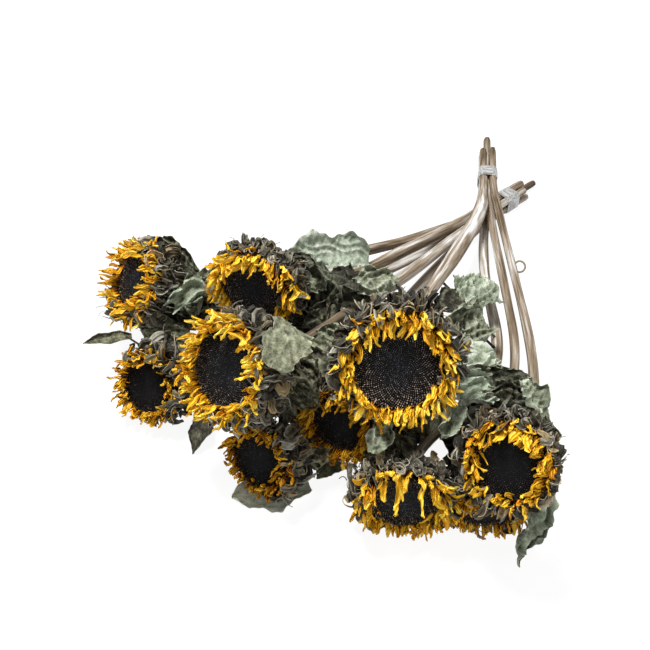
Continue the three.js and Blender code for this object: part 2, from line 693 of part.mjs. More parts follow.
// The ties.
for (const [id, bundle] of Object.entries(BUNDLES)) {
  const { out, across, up, at } = bundleFrame(bundle);
  const place = new THREE.Matrix4().makeBasis(across, up, out);
  place.setPosition(at.addScaledVector(out, -TIE_WIDTH / 2));
  const band = tie().transform(place.elements);
  keepClearOf(band, `tie_${id}`);
  addPiece(`tie_${id}`, "tie", band, bunch);
}

// Then the leaves, and last the petals and bracts, which bend clear of all the rest.
for (const [i, leaf] of LEAVES.entries()) {
  const flower = FLOWERS.find((f) => f.id === leaf.stem);
  const made = leafOn(leaf, flower.chords, 40 + i);
  keepClearOf(made, `leaf_${leaf.id}`);
  addPiece(`leaf_${leaf.id}`, "leaf", made, bunch);
}

for (const flower of FLOWERS) {
  const owner = `rays_${flower.id}`;
  const random = seeded(100 + Number(flower.id));
  const growth = { rows: rayRows(flower), random, frame: flower.frame, owner };
  flower.raysSolid = grown({ ...rimOf(flower), ...growth });
  keepClearOf(flower.raysSolid, owner);
}

for (const flower of FLOWERS) {
  const owner = `calyx_${flower.id}`;
  const random = seeded(200 + Number(flower.id));
  const growth = { rows: bractRows(flower), random, frame: flower.frame, owner };
  flower.calyxSolid = grown({ ...backOf(flower), ...growth });
  keepClearOf(flower.calyxSolid, owner);
}

for (const flower of FLOWERS) {
  addPiece(`disc_${flower.id}`, "disc", flower.discSolid, flower.group, flower.inverse);
  addPiece(`rays_${flower.id}`, "rays", flower.raysSolid, flower.group, flower.inverse);
  addPiece(`calyx_${flower.id}`, "calyx", flower.calyxSolid, flower.group, flower.inverse);
  addPiece(`stem_${flower.id}`, "stem", flower.stemSolid, bunch);
}

// The origin goes to the middle of the bottom of the whole bunch's box.
const boxes = pieces.map((made) => made.boundingBox());
const low = [0, 1, 2].map((i) => Math.min(...boxes.map((b) => b.min[i])));
const high = [0, 1, 2].map((i) => Math.max(...boxes.map((b) => b.max[i])));
bunch.position.set(-(low[0] + high[0]) / 2, -(low[1] + high[1]) / 2, -low[2]);

export default bunch;
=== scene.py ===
# A bunch of ten dried sunflowers, lying on a table in two taped handfuls whose stems cross. The packed
# solids give the places of the heads, the stems and the ties, and the leaves' places are given here.
# Each section dresses one kind of piece, from the stems up to the petals and the leaves, in metres.
import math

import bpy
import numpy as np
from mathutils import Matrix, Vector, kdtree


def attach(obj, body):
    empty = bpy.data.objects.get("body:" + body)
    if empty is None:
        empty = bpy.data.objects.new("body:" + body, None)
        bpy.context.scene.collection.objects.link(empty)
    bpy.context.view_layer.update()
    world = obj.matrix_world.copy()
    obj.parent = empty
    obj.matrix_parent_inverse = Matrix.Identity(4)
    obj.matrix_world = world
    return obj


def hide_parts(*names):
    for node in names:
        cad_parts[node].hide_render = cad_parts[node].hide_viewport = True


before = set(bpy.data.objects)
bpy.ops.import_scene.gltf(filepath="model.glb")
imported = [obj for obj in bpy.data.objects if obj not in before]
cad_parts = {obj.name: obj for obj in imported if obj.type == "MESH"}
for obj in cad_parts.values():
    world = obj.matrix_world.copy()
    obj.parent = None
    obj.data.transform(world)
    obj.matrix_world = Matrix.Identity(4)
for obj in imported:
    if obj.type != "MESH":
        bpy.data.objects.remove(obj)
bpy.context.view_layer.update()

# ---- The heads' places ------------------------------------------------------------------------
# Each flower head is built round its seed disc, a low drum whose flat back lies on the floor of the
# head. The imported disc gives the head's middle, the way it faces and its radius.

MM = 0.001
HEADS = range(1, 11)
DISC_DEPTH = 5 * MM


def read_head(number):
    """The head's axes are the rows right, up and facing, seen from its front."""
    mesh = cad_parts[f"disc_{number}"].data
    floor = max(mesh.polygons, key=lambda face: face.area)
    facing = -Vector(floor.normal)
    level = Vector(floor.center).dot(facing)
    on_floor = [v.co for v in mesh.vertices if abs(v.co.dot(facing) - level) < 0.1 * MM]
    corners = {tuple(round(c, 6) for c in place) for place in on_floor}
    back = sum((Vector(c) for c in corners), Vector()) / len(corners)
    up = (Vector((0, 0, 1)) - facing * facing.z).normalized()
    return {
        "number": number,
        "radius": max((Vector(c) - back).length for c in corners),
        "centre": np.array(back + facing * DISC_DEPTH),
        "axes": np.array([up.cross(facing), up, facing]),
    }


heads = {number: read_head(number) for number in HEADS}


def in_row(head, local):
    """Points given along a head's axes, in the row's frame."""
    return head["centre"] + local @ head["axes"]


# ---- Stems --------------------------------------------------------------------------------------
# The stems are cut sunflower stalks, dried hard: woody tubes with shallow ribs and a pith core. They
# run from the back of each head into one of two tape ties, and end in a plain cut. On the stem of
# flower 9 a dried leaf stalk has curled into a ring.

STEM_RADIUS = 3 * MM
STEM_SIDES = 22
RING_STEP = 2.4 * MM
HEAD_DEPTH = 20 * MM  # from the disc's face back to the stem
SLICE_STEP = 3 * MM
SLICE_REACH = 60 * MM
CURL_RADIUS = 4.4 * MM
CURL_SLANT = math.pi / 4
STALK_RADIUS = 0.9 * MM
LOWEST = 0.1 * MM  # over the table, for any point
SMOOTH_ANGLE = math.radians(38)


def srgb(code):
    """An sRGB hex colour as the linear colour that a shader takes."""
    parts = [int(code[i : i + 2], 16) / 255 for i in (1, 3, 5)]
    return [c / 12.92 if c <= 0.04045 else ((c + 0.055) / 1.055) ** 2.4 for c in parts] + [1.0]


def add(tree, kind, inputs=(), stops=(), **settings):
    """Adds a node. inputs: (socket, and a value, an output to link, or a node whose first output is
    linked). stops: (place, colour) on a ramp."""
    made = tree.nodes.new(kind)
    for name, value in settings.items():
        setattr(made, name, value)
    for socket, value in inputs:
        if isinstance(value, bpy.types.Node):
            value = value.outputs[0]
        if isinstance(value, bpy.types.NodeSocket):
            tree.links.new(value, made.inputs[socket])
        else:
            made.inputs[socket].default_value = value
    while stops and len(made.color_ramp.elements) < len(stops):
        made.color_ramp.elements.new(0.5)
    for element, (place, code) in zip(made.color_ramp.elements if stops else (), stops):
        element.position = place
        element.color = srgb(code)
    return made


def new_material(name):
    """A material with its node tree and its shader."""
    made = bpy.data.materials.new(name)
    made.use_nodes = True
    return made, made.node_tree, made.node_tree.nodes["Principled BSDF"]


def piece_material(name):
    """A material, with where each point is in its pattern and how light it is there."""
    made, tree, shader = new_material(name)
    grain = add(tree, "ShaderNodeAttribute", attribute_name="grain").outputs["Vector"]
    tone = add(tree, "ShaderNodeAttribute", attribute_name="tone").outputs["Fac"]
    return made, tree, shader, grain, tone


def set_surface(tree, shader, colour, relief, strength, depth, roughness):
    """Gives the shader its colour, its roughness, and a relief of some strength and depth in mm."""
    tree.links.new(colour, shader.inputs["Base Color"])
    relief = [("Height", relief), ("Strength", strength), ("Distance", depth * MM)]
    tree.links.new(add(tree, "ShaderNodeBump", relief).outputs["Normal"], shader.inputs["Normal"])
    shader.inputs["Roughness"].default_value = roughness


def unit(vector):
    """The vector, made 1 long."""
    return vector / np.linalg.norm(vector)


def points_of(mesh):
    """The mesh's points, as rows."""
    return np.array([v.co for v in mesh.vertices])


def gone_along(path):
    """How far along the path each of its points is."""
    return np.concatenate([[0], np.cumsum(np.linalg.norm(np.diff(path, axis=0), axis=1))])


def followed(mesh, start, heading, step):
    """The middle line of a long mesh, followed in steps from its start by slicing across it."""
    corners = points_of(mesh)[np.array([list(face.vertices) for face in mesh.polygons])]
    path = [np.array(start)]
    while True:
        aim = path[-1] + heading * step
        height = (corners - aim) @ heading
        near = np.linalg.norm(corners.mean(1) - aim, axis=1) < SLICE_REACH
        cut = near & (height.min(1) < 0) & (height.max(1) > 0)
        ends = np.full((3, cut.sum(), 3), np.nan)
        for edge, (a, b) in enumerate(((0, 1), (1, 2), (2, 0))):
            low, high = height[cut, a], height[cut, b]
            crosses = (low > 0) != (high > 0)
            share = (low / np.where(crosses, low - high, 1))[crosses, None]
            ends[edge, crosses] = corners[cut, a][crosses] * (1 - share) + corners[cut, b][crosses] * share
        if not cut.any():
            break
        middles = np.nanmean(ends, axis=0)
        lengths = np.linalg.norm(np.nanmax(ends, axis=0) - np.nanmin(ends, axis=0), axis=1)
        own = np.linalg.norm(middles - aim, axis=1) < 1.5 * STEM_RADIUS
        if not own.any():
            break
        middle = (middles[own] * lengths[own, None]).sum(0) / lengths[own].sum()
        heading = unit(middle - path[-1])
        path.append(middle)
    return path, heading


def smooth_path(points, passes, spacing):
    """Points a spacing apart along the given ones, rounded off in that many passes."""
    points = np.array(points, float)
    for _ in range(passes):
        points[1:-1] = 0.25 * points[:-2] + 0.5 * points[1:-1] + 0.25 * points[2:]
    gone = gone_along(points)
    places = np.linspace(0, gone[-1], max(4, round(gone[-1] / spacing)) + 1)
    return np.stack([np.interp(places, gone, points[:, i]) for i in range(3)], axis=1)


def stem_line(number):
    """The stem's middle line, from the back of the head to the cut end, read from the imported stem."""
    head = heads[number]
    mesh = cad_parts[f"stem_{number}"].data
    start = in_row(head, np.array([0, 0, -HEAD_DEPTH]))
    path, heading = followed(mesh, start, -head["axes"][2], SLICE_STEP)
    points = points_of(mesh) - path[-1]
    beyond = points[np.linalg.norm(points, axis=1) < 4 * STEM_RADIUS] @ heading
    return smooth_path([*path, path[-1] + heading * beyond.max()], 40, RING_STEP)


def carried_frames(path):
    """Two directions across a path, turned as little as possible from point to point."""
    along = np.gradient(path, axis=0)
    along /= np.linalg.norm(along, axis=1)[:, None]
    side = np.cross(along[0], [0.31, 0.17, 0.93])
    sides = []
    for heading in along:
        side = unit(side - heading * (side @ heading))
        sides.append(side)
    return np.array(sides), np.cross(along, sides)


def lofted(rings, sides):
    """The faces over that many rings of points, closed at both ends."""
    faces = [
        [i * sides + j, i * sides + (j + 1) % sides, (i + 1) * sides + (j + 1) % sides, (i + 1) * sides + j]
        for i in range(rings - 1)
        for j in range(sides)
    ]
    return faces + [list(range(sides))[::-1], [(rings - 1) * sides + j for j in range(sides)]]


def tube(path, radii, sides):
    """A closed tube over the path: its points, its faces, and each point's turn and distance along."""
    side, other = carried_frames(path)
    turns = np.arange(sides) / sides * 2 * math.pi
    radii = np.broadcast_to(radii, (len(path), sides))
    around = np.cos(turns)[None, :, None] * side[:, None, :]
    around = around + np.sin(turns)[None, :, None] * other[:, None, :]
    points = (path[:, None, :] + radii[:, :, None] * around).reshape(-1, 3)
    turns, gone = np.tile(turns, len(path)), np.repeat(gone_along(path), sides)
    return points, lofted(len(path), sides), turns, gone


class Build:
    """Parts gathered into one mesh, with the attributes that its material reads."""

    def __init__(self):
        self.points, self.faces, self.tone, self.hue, self.grain = [], [], [], [], []
        self.count = 0

    def take(self, points, faces, tone, grain, hue=0.0):
        """tone: how light the finish is there, 0 to 1. grain: where it is in the finish's own pattern.
        hue: which of the finish's two colours it has, 0 to 1."""
        self.points.append(points)
        self.faces += [[i + self.count for i in face] for face in faces]
        self.tone.append(np.broadcast_to(tone, len(points)))
        self.hue.append(np.broadcast_to(hue, len(points)))
        self.grain.append(grain)
        self.count += len(points)

    def piece(self, name, material, slot, *nodes):
        """The finished piece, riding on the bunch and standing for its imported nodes."""
        mesh = bpy.data.meshes.new(name)
        points = np.concatenate(self.points)
        points[:, 2] = np.maximum(points[:, 2], LOWEST)
        mesh.from_pydata(points.tolist(), [], self.faces)
        mesh.attributes.new("tone", "FLOAT", "POINT").data.foreach_set("value", np.concatenate(self.tone))
        mesh.attributes.new("hue", "FLOAT", "POINT").data.foreach_set("value", np.concatenate(self.hue))
        grain = mesh.attributes.new("grain", "FLOAT_VECTOR", "POINT")
        grain.data.foreach_set("vector", np.concatenate(self.grain).ravel())
        mesh.materials.append(material)
        made = bpy.data.objects.new(name, mesh)
        bpy.context.scene.collection.objects.link(made)
        bpy.ops.object.select_all(action="DESELECT")
        bpy.context.view_layer.objects.active = made
        made.select_set(True)
        bpy.ops.object.mode_set(mode="EDIT")
        bpy.ops.mesh.select_all(action="SELECT")
        bpy.ops.mesh.normals_make_consistent(inside=False)
        bpy.ops.object.mode_set(mode="OBJECT")
        bpy.ops.object.shade_smooth_by_angle(angle=SMOOTH_ANGLE)
        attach(made, "root")
        if nodes:
            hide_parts(*nodes)


def dried_stalk():
    """Dried sunflower stalk: taupe and brown fibres along it, with silvery patches of old skin."""
    made, tree, shader, grain, tone = piece_material("dried_stalk")
    # Fibres are drawn about 1 mm wide, coarser than life, so that they show.
    fibres = add(tree, "ShaderNodeTexNoise", [("Vector", grain), ("Scale", 2.6), ("Detail", 5.0)])
    skin = [("Vector", grain), ("Scale", 0.8), ("Detail", 3.0), ("Distortion", 0.6)]
    patches = add(tree, "ShaderNodeTexNoise", skin)
    mixed = add(tree, "ShaderNodeMath", [(0, fibres), (1, 1.3), (2, tone)], operation="MULTIPLY_ADD")
    mixed = add(tree, "ShaderNodeMath", [(0, patches), (1, 2.2), (2, mixed)], operation="MULTIPLY_ADD")
    mixed = add(tree, "ShaderNodeMath", [(0, mixed), (1, 1.6)], operation="SUBTRACT")
    ramp = add(tree, "ShaderNodeValToRGB", [("Fac", mixed)], [
        (0.02, "#443727"), (0.3, "#75634D"), (0.5, "#8F7F6C"),
        (0.68, "#A59B8E"), (0.86, "#C6C2BC"), (1.0, "#E0DEDC"),
    ])
    set_surface(tree, shader, ramp.outputs["Color"], fibres, 0.5, 0.4, 0.72)
    return made


stalk = dried_stalk()
stem_lines = {number: stem_line(number) for number in HEADS}
# How light each stem is: the silvery ones and the brown ones of the bunch.
STEM_TONES = {1: 0.2, 2: 0.35, 3: 0.28, 4: 0.48, 5: 0.4, 6: 0.46, 7: 0.42, 8: 0.36, 9: 0.32, 10: 0.3}
# How thick each is where the handfuls fan out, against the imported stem.
STEM_FULL = {1: 1.55, 2: 1.6, 3: 1.6, 4: 1.6, 5: 1.6, 6: 1.7, 7: 1.5, 8: 1.35, 9: 1.12, 10: 1.15}
# Flower 4's stem is painted darker near its head, as painted shade where it lies deep in the bunch: how
# much, and how far from its head.
STEM_PAINTED_SHADE, PAINTED_SHADE_LENGTH = {4: 0.7}, 130 * MM
# How much darker the cut ends have weathered, in the handfuls of flowers 1 to 5 and 6 to 10.
WEATHERED, WEATHERED_LENGTH = (0.12, 0.3), 30 * MM

for number, line in stem_lines.items():
    draw = np.random.default_rng(number)
    build = Build()
    turns = np.arange(STEM_SIDES) / STEM_SIDES * 2 * math.pi
    gone = np.arange(len(line)) * RING_STEP
    phases = draw.uniform(0, 6, 4)
    ribs = 0.055 * np.sin(6 * turns[None, :] + phases[0] + 9 * gone[:, None])
    ribs = ribs + 0.04 * np.sin(2 * turns[None, :] + phases[1] + 22 * gone[:, None])
    swells = 0.04 * np.sin(75 * gone + phases[2]) + 0.03 * np.sin(31 * gone + phases[3])
    # They are pressed together in the tie.
    full = STEM_FULL[number]
    taper = np.interp(gone / gone[-1], [0, 0.1, 0.4, 0.7, 0.82, 1], [1.2, 1.15, full, full, 1.16, 1.12])
    radii = STEM_RADIUS * taper[:, None] * (1 + ribs + swells[:, None])
    radii[-2:] *= np.array([0.97, 0.86])[:, None]
    points, faces, turn, along = tube(line, radii, STEM_SIDES)
    grain = np.stack([np.cos(turn) + 7 * number, np.sin(turn), along * 15], axis=1)
    end = WEATHERED[number > 5] * np.clip((along - gone[-1]) / WEATHERED_LENGTH + 1, 0, 1)
    # Painted shade: flower 4's stem is darker along the part nearest its head, deep in the bunch.
    painted_shade = STEM_PAINTED_SHADE.get(number, 0) * np.clip(1 - along / PAINTED_SHADE_LENGTH, 0, 1) ** 0.5
    build.take(points, faces, STEM_TONES[number] - end - painted_shade, grain)
    if number == 9:
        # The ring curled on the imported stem's right side shows as the stem's part furthest from its line.
        packed = points_of(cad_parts["stem_9"].data)
        away = np.linalg.norm(packed[:, None] - line[None], axis=2)
        ring = packed[away.min(1) > 1.4 * STEM_RADIUS]
        foot = line[np.argmin(np.linalg.norm(line - ring.mean(0), axis=1))]
        middle = foot + np.array([STEM_RADIUS + CURL_RADIUS - 1.5 * 1.1 * MM, 0, 0])
        swing = np.linspace(math.pi * 1.02, -math.pi * 1.15, 34)
        rise = np.sin(swing)
        tilted = np.array([np.cos(swing), rise * math.cos(CURL_SLANT), rise * math.sin(CURL_SLANT)])
        points, faces, turn, along = tube(middle + CURL_RADIUS * tilted.T, STALK_RADIUS, 8)
        build.take(points, faces, 0.3, np.stack([np.cos(turn), np.sin(turn), along * 14], axis=1))
    build.piece(f"stalk_{number}", stalk, "stem", f"stem_{number}")

# ---- Seed discs -----------------------------------------------------------------------------------
# The middle of the flower is a low dome packed with hundreds of near-black florets in spirals, longer
# towards the edge. They are dry and matt, with grey tips that catch the light.

FLORET_SPACING = 1.45 * MM  # real florets are a little finer, and wouldn't show
INNER_SHRINK = 0.6  # power that the florets' distances grow by: above 0.5, the inner ones are smaller
GOLDEN_TURN = math.radians(137.508)


def master_mesh(object_made):
    """The points and faces of a shape made with the modelling operators, which is then removed."""
    points = points_of(object_made.data)
    faces = [list(face.vertices) for face in object_made.data.polygons]
    bpy.data.objects.remove(object_made)
    return points, faces


def floret_master():
    """One floret, 1 high and about 1 across, with a drawn-in top."""
    bpy.ops.object.select_all(action="DESELECT")
    bpy.ops.mesh.primitive_cone_add(vertices=5, radius1=0.5, radius2=0.34, depth=0.7, location=(0, 0, 0.35))
    made = bpy.context.object
    bpy.ops.object.mode_set(mode="EDIT")
    bpy.ops.mesh.select_all(action="DESELECT")
    bpy.ops.object.mode_set(mode="OBJECT")
    for face in made.data.polygons:
        face.select = face.normal.z > 0.9
    bpy.ops.object.mode_set(mode="EDIT")
    bpy.ops.mesh.extrude_region_move(TRANSFORM_OT_translate={"value": (0, 0, 0.3)})
    bpy.ops.transform.resize(value=(0.35, 0.35, 1))
    bpy.ops.object.mode_set(mode="OBJECT")
    bpy.ops.object.transform_apply(location=True, rotation=True, scale=True)
    return master_mesh(made)


def dome_master():
    """A low dome over a flat floor, 1 in radius, that the florets stand in."""
    bpy.ops.object.select_all(action="DESELECT")
    bpy.ops.mesh.primitive_uv_sphere_add(segments=48, ring_count=16, radius=1)
    made = bpy.context.object
    bpy.ops.object.mode_set(mode="EDIT")
    bpy.ops.mesh.select_all(action="SELECT")
    bpy.ops.mesh.bisect(plane_co=(0, 0, -0.35), plane_no=(0, 0, 1), clear_inner=True, use_fill=True)
    bpy.ops.object.mode_set(mode="OBJECT")
    return master_mesh(made)


def two_ramps(tree, tone, first, second):
    """The first ramp's colour for the tone, or the second's where the piece's hue is 1."""
    hue = add(tree, "ShaderNodeAttribute", attribute_name="hue").outputs["Fac"]
    one, other = (add(tree, "ShaderNodeValToRGB", [("Fac", tone)], stops) for stops in (first, second))
    return add(tree, "ShaderNodeMix", [(0, hue), (6, one), (7, other)], data_type="RGBA").outputs[2]


def dried_florets():
    """Dried disc florets: near-black and matt, with a blue-grey bloom and pale grey tips."""
    made, tree, shader, grain, tone = piece_material("dried_disc_florets")
    # Specks of bloom, about 1 mm across.
    specks = add(tree, "ShaderNodeTexNoise", [("Vector", grain), ("Scale", 1.0), ("Detail", 3.0)])
    mixed = add(tree, "ShaderNodeMath", [(0, specks), (1, tone)], operation="MULTIPLY")
    brown = [(0.02, "#040403"), (0.12, "#161210"), (0.26, "#3B342E"), (0.45, "#77695D"), (0.7, "#B3A698")]
    blue = [(0.02, "#040405"), (0.12, "#16171B"), (0.26, "#343740"), (0.45, "#666B78"), (0.7, "#9BA1AC")]
    tree.links.new(two_ramps(tree, mixed, brown, blue), shader.inputs["Base Color"])
    shader.inputs["Roughness"].default_value = 0.85
    shader.inputs["Specular IOR Level"].default_value = 0.25
    return made


# How much pale chaff each disc shows, against the most.
DISC_TONES = {1: 0.7, 2: 0.4, 3: 0.8, 4: 0.6, 5: 0.5, 6: 0.88, 7: 0.5, 8: 0.8, 9: 0.4, 10: 0.5}

florets = dried_florets()
floret_points, floret_faces = floret_master()
dome_points, dome_faces = dome_master()

for number, head in heads.items():
    draw = np.random.default_rng(20 + number)
    radius = head["radius"]
    build = Build()
    dome = dome_points * np.array([radius, radius, 1.3 * MM])
    dome[:, 2] -= 0.5 * MM
    drum = np.where(dome_points[:, 2] < -0.3)[0]
    dome[drum, 2] = -DISC_DEPTH + 0.2 * MM
    build.take(in_row(head, dome), dome_faces, 0.0, dome * 900)
    count = int(1.9 * (radius / FLORET_SPACING) ** 2 * 1.45**2)
    for i in range(count):
        share = ((i + 0.5) / count) ** INNER_SHRINK
        out = radius * share
        turn = i * GOLDEN_TURN
        wide = FLORET_SPACING * (0.55 + 0.33 * share) * draw.uniform(0.8, 1.05)
        height = (0.5 + 1.5 * share**2) * MM * draw.uniform(0.7, 1.3)
        lean = math.radians(30) * share**2 + math.radians(draw.uniform(-14, 14))
        floret = floret_points * np.array([wide * 1.25, wide * 0.85, height])
        place = Matrix.Rotation(turn, 3, "Z") @ Matrix.Rotation(lean, 3, "Y")
        floret = floret @ np.array(place).T
        floret += [out * math.cos(turn), out * math.sin(turn), 0.75 * MM * (1 - share**2) - 0.3 * MM]
        # The rim of each floret's cup is pale and its mouth dark; chaff makes some of them paler.
        pale = DISC_TONES[number] * (draw.uniform(0.5, 1.5) + 0.9 * draw.uniform(0, 1) ** 4)
        tone = pale * (0.7 + 0.3 * share) * np.interp(floret_points[:, 2], [0, 0.7, 1], [0, 1, 0.45])
        centre = math.exp(-((share / 0.55) ** 3))
        build.take(in_row(head, floret), floret_faces, tone, floret * 900, centre)
    build.piece(f"florets_{number}", florets, "seed_disc", f"disc_{number}")

# ---- Blades ---------------------------------------------------------------------------------------
# Ray petals, bracts and leaves are thin sheets that have dried into curls and folds. One flat sheet is
# made for each size, and every blade is that sheet folded across and bent along its length.

# How far a head reaches behind its disc's face, and how far ahead of it nothing may stand.
HEAD_BEHIND, HEAD_AHEAD = 17 * MM, 9 * MM
BLADE_TRIALS = 7

stem_tree = kdtree.KDTree(sum(len(line) for line in stem_lines.values()))
stem_of_point = []
for number, line in stem_lines.items():
    for point in line:
        stem_tree.insert(point, len(stem_of_point))
        stem_of_point.append(number)
stem_tree.balance()


def over_a_head(points, own, margin, ahead):
    """Whether any point is within a margin of a flower's head, but for its own, or that far ahead of it."""
    for number, head in heads.items():
        local = (points - head["centre"]) @ head["axes"].T
        across = np.hypot(local[:, 0], local[:, 1]) < head["radius"] + margin
        if number != own and np.any(across & (local[:, 2] > -HEAD_BEHIND) & (local[:, 2] < ahead)):
            return True
    return False


def in_the_way(points, own, clearance, margin):
    """Whether the points come within a margin of another flower's head, or too near its stem."""
    if over_a_head(points, own, margin, HEAD_AHEAD):
        return True
    for point in points:
        _, index, distance = stem_tree.find(point)
        if stem_of_point[index] != own and distance < STEM_RADIUS + clearance:
            return True
    return False


def flat_sheet(across, along):
    """A flat closed sheet with its two sides in layers -1 and 1, and each point's column and row."""
    bpy.ops.object.select_all(action="DESELECT")
    bpy.ops.mesh.primitive_grid_add(x_subdivisions=across, y_subdivisions=along, size=2)
    made = bpy.context.object
    solidify = made.modifiers.new("both_sides", "SOLIDIFY")
    solidify.thickness = 0.2
    solidify.offset = 0
    bpy.ops.object.modifier_apply(modifier=solidify.name)
    points, faces = master_mesh(made)
    column = np.rint((points[:, 0] + 1) / 2 * across).astype(int)
    row = np.rint((points[:, 1] + 1) / 2 * along).astype(int)
    columns = np.linspace(-1, 1, across + 1)
    return {
        "column": column,
        "row": row,
        "layer": np.sign(points[:, 2]),
        "faces": faces,
        "u": columns[None, :],
        "between": (columns[None, 1:] + columns[None, :-1]) / 2,
        "v": np.linspace(0, 1, along + 1),
        "u_at": column / across * 2 - 1,
        "v_at": row / along,
    }


def bent(sheet, root, outward, facing, shape):
    """The sheet folded and bent from its root: its points, its middle line, and how high each point
    stands in its own cross-section. Angles are in radians. By row: tilt from outward to facing, sway
    about facing, and twist of its width. By row and column: breadth out from the middle, and lift. By
    row and strip between columns: the slope that it is folded to there."""
    across = np.cross(facing, outward)
    tilt, sway, twist = (shape[name][:, None] for name in ("tilt", "sway", "twist"))
    level = np.cos(sway) * outward + np.sin(sway) * across
    heading = np.cos(tilt) * level + np.sin(tilt) * facing
    front = np.cos(tilt) * facing - np.sin(tilt) * level
    side = np.cross(heading, front)
    side, front = np.cos(twist) * side + np.sin(twist) * front, np.cos(twist) * front - np.sin(twist) * side
    steps = heading * shape["length"] / (len(heading) - 1)
    spine = root + np.concatenate([np.zeros((1, 3)), np.cumsum((steps[1:] + steps[:-1]) / 2, axis=0)])
    slope = shape["slope"]
    step = np.diff(shape["breadth"], axis=1)
    aside = np.pad(np.cumsum(np.cos(slope) * step, axis=1), ((0, 0), (1, 0)))
    ahead = np.pad(np.cumsum(np.sin(slope) * step, axis=1), ((0, 0), (1, 0)))
    middle = aside.shape[1] // 2
    aside = aside - aside[:, middle : middle + 1]
    ahead = ahead - ahead[:, middle : middle + 1] + shape["lift"]
    row, column = sheet["row"], sheet["column"]
    beside = np.pad(slope, ((0, 0), (1, 1)), mode="edge")
    lean = ((beside[:, 1:] + beside[:, :-1]) / 2)[row, column]
    out = sheet["layer"] * shape["thickness"] / 2
    x = aside[row, column] - out * np.sin(lean)
    y = ahead[row, column] + out * np.cos(lean)
    return spine[row] + side[row] * x[:, None] + front[row] * y[:, None], spine, ahead[row, column]


def laid_clear(sheet, head, angle, radius, height, draw, form):
    """A blade on the head at that angle, drawn again until nothing is in its way. Returns its points
    and how high they stand in its cross-section, or None twice."""
    outward = np.array([math.cos(angle), math.sin(angle), 0])
    facing = np.array([0, 0, 1.0])
    root = outward * radius + facing * height
    for way in range(BLADE_TRIALS):
        points, spine, ahead = bent(sheet, root, outward, facing, form(draw, sheet, angle, way))
        spine = in_row(head, spine)
        if spine[:, 2].min() > 0.4 * MM and not in_the_way(spine[2::2], head["number"], 1.5 * MM, 3 * MM):
            return in_row(head, points), ahead
    return None, None


def pleats(draw, sheet, depth):
    """Slopes of lengthwise pleats, a fold at every column, each deeper here and shallower there."""
    rows, strips = len(sheet["v"]), sheet["between"].shape[1]
    uneven = draw.uniform(0.2, 1.5, (rows + 2, strips))
    uneven = 0.3 * uneven[:-2] + 0.4 * uneven[1:-1] + 0.3 * uneven[2:]
    return np.where(np.arange(strips) % 2, 1, -1) * depth * uneven


def rumpled(draw, sheet, degrees):
    """Uneven bends along a blade, up to that many degrees each way, in radians."""
    bends = np.radians(draw.uniform(-degrees, degrees, len(sheet["v"]) + 1))
    return 0.5 * bends[1:] + 0.5 * bends[:-1]


# ---- Heads' backs and bracts ------------------------------------------------------------------------
# The back of the head is a shallow cup, shrunken and ribbed, that grew with the stem. Round it stand
# the bracts: broad ones that have rolled up like dry leaves, and narrow ones whose long tips have
# dried into curled threads. They are grey-brown, with olive and tan ones among them.

BRACT_THICKNESS = 0.35 * MM
HEAD_OVERHANG = 4.6 * MM


def dried_bract():
    """Dried bract: thin and fibrous, grey to grey-brown outside and tan inside."""
    made, tree, shader, grain, tone = piece_material("dried_bract")
    # Fibres are drawn about 1 mm apart, coarser than life, so that they show.
    fibres = add(tree, "ShaderNodeTexNoise", [("Vector", grain), ("Scale", 1.6), ("Detail", 5.0)])
    mixed = add(tree, "ShaderNodeMath", [(0, fibres), (1, 0.5)], operation="SUBTRACT")
    mixed = add(tree, "ShaderNodeMath", [(0, mixed), (1, 1.1), (2, tone)], operation="MULTIPLY_ADD")
    grey = [
        (0.0, "#15120D"), (0.22, "#3C382D"), (0.42, "#676252"),
        (0.62, "#8F8B7C"), (0.82, "#B2AEA1"), (1.0, "#D5D1C6"),
    ]
    tan = [(0.0, "#20170E"), (0.25, "#544630"), (0.48, "#857755"), (0.7, "#B19468"), (1.0, "#DFC494")]
    set_surface(tree, shader, two_ramps(tree, mixed, grey, tan), fibres, 0.7, 0.5, 0.8)
    return made


def back_master():
    """The head's back as loops from the stem out to the edge and in over the floor of the disc: each
    loop is a share of the widest radius, and a height in mm below the face."""
    bpy.ops.object.select_all(action="DESELECT")
    loops = [
        (0.2, -19.5), (0.42, -18.6), (0.66, -16), (0.86, -12.6),
        (0.98, -9), (1.0, -6.8), (0.965, -5), (0.9, -5.2),
    ]
    stem_share, depth = loops[0]
    bpy.ops.mesh.primitive_circle_add(
        vertices=72, radius=stem_share, fill_type="NGON", location=(0, 0, depth))
    made = bpy.context.object
    bpy.ops.object.mode_set(mode="EDIT")
    bpy.ops.mesh.select_all(action="SELECT")
    for (from_share, from_height), (share, height) in zip(loops, loops[1:]):
        bpy.ops.mesh.extrude_region_move(TRANSFORM_OT_translate={"value": (0, 0, height - from_height)})
        bpy.ops.transform.resize(value=(share / from_share, share / from_share, 1))
    bpy.ops.object.mode_set(mode="OBJECT")
    bpy.ops.object.transform_apply(location=True, rotation=True, scale=True)
    return master_mesh(made)


def round_the_flower(values, angle):
    """A value between those given for the flower's right, top, left and bottom."""
    return np.interp(math.degrees(angle) % 360, [0, 90, 180, 270, 360], [*values, values[0]])


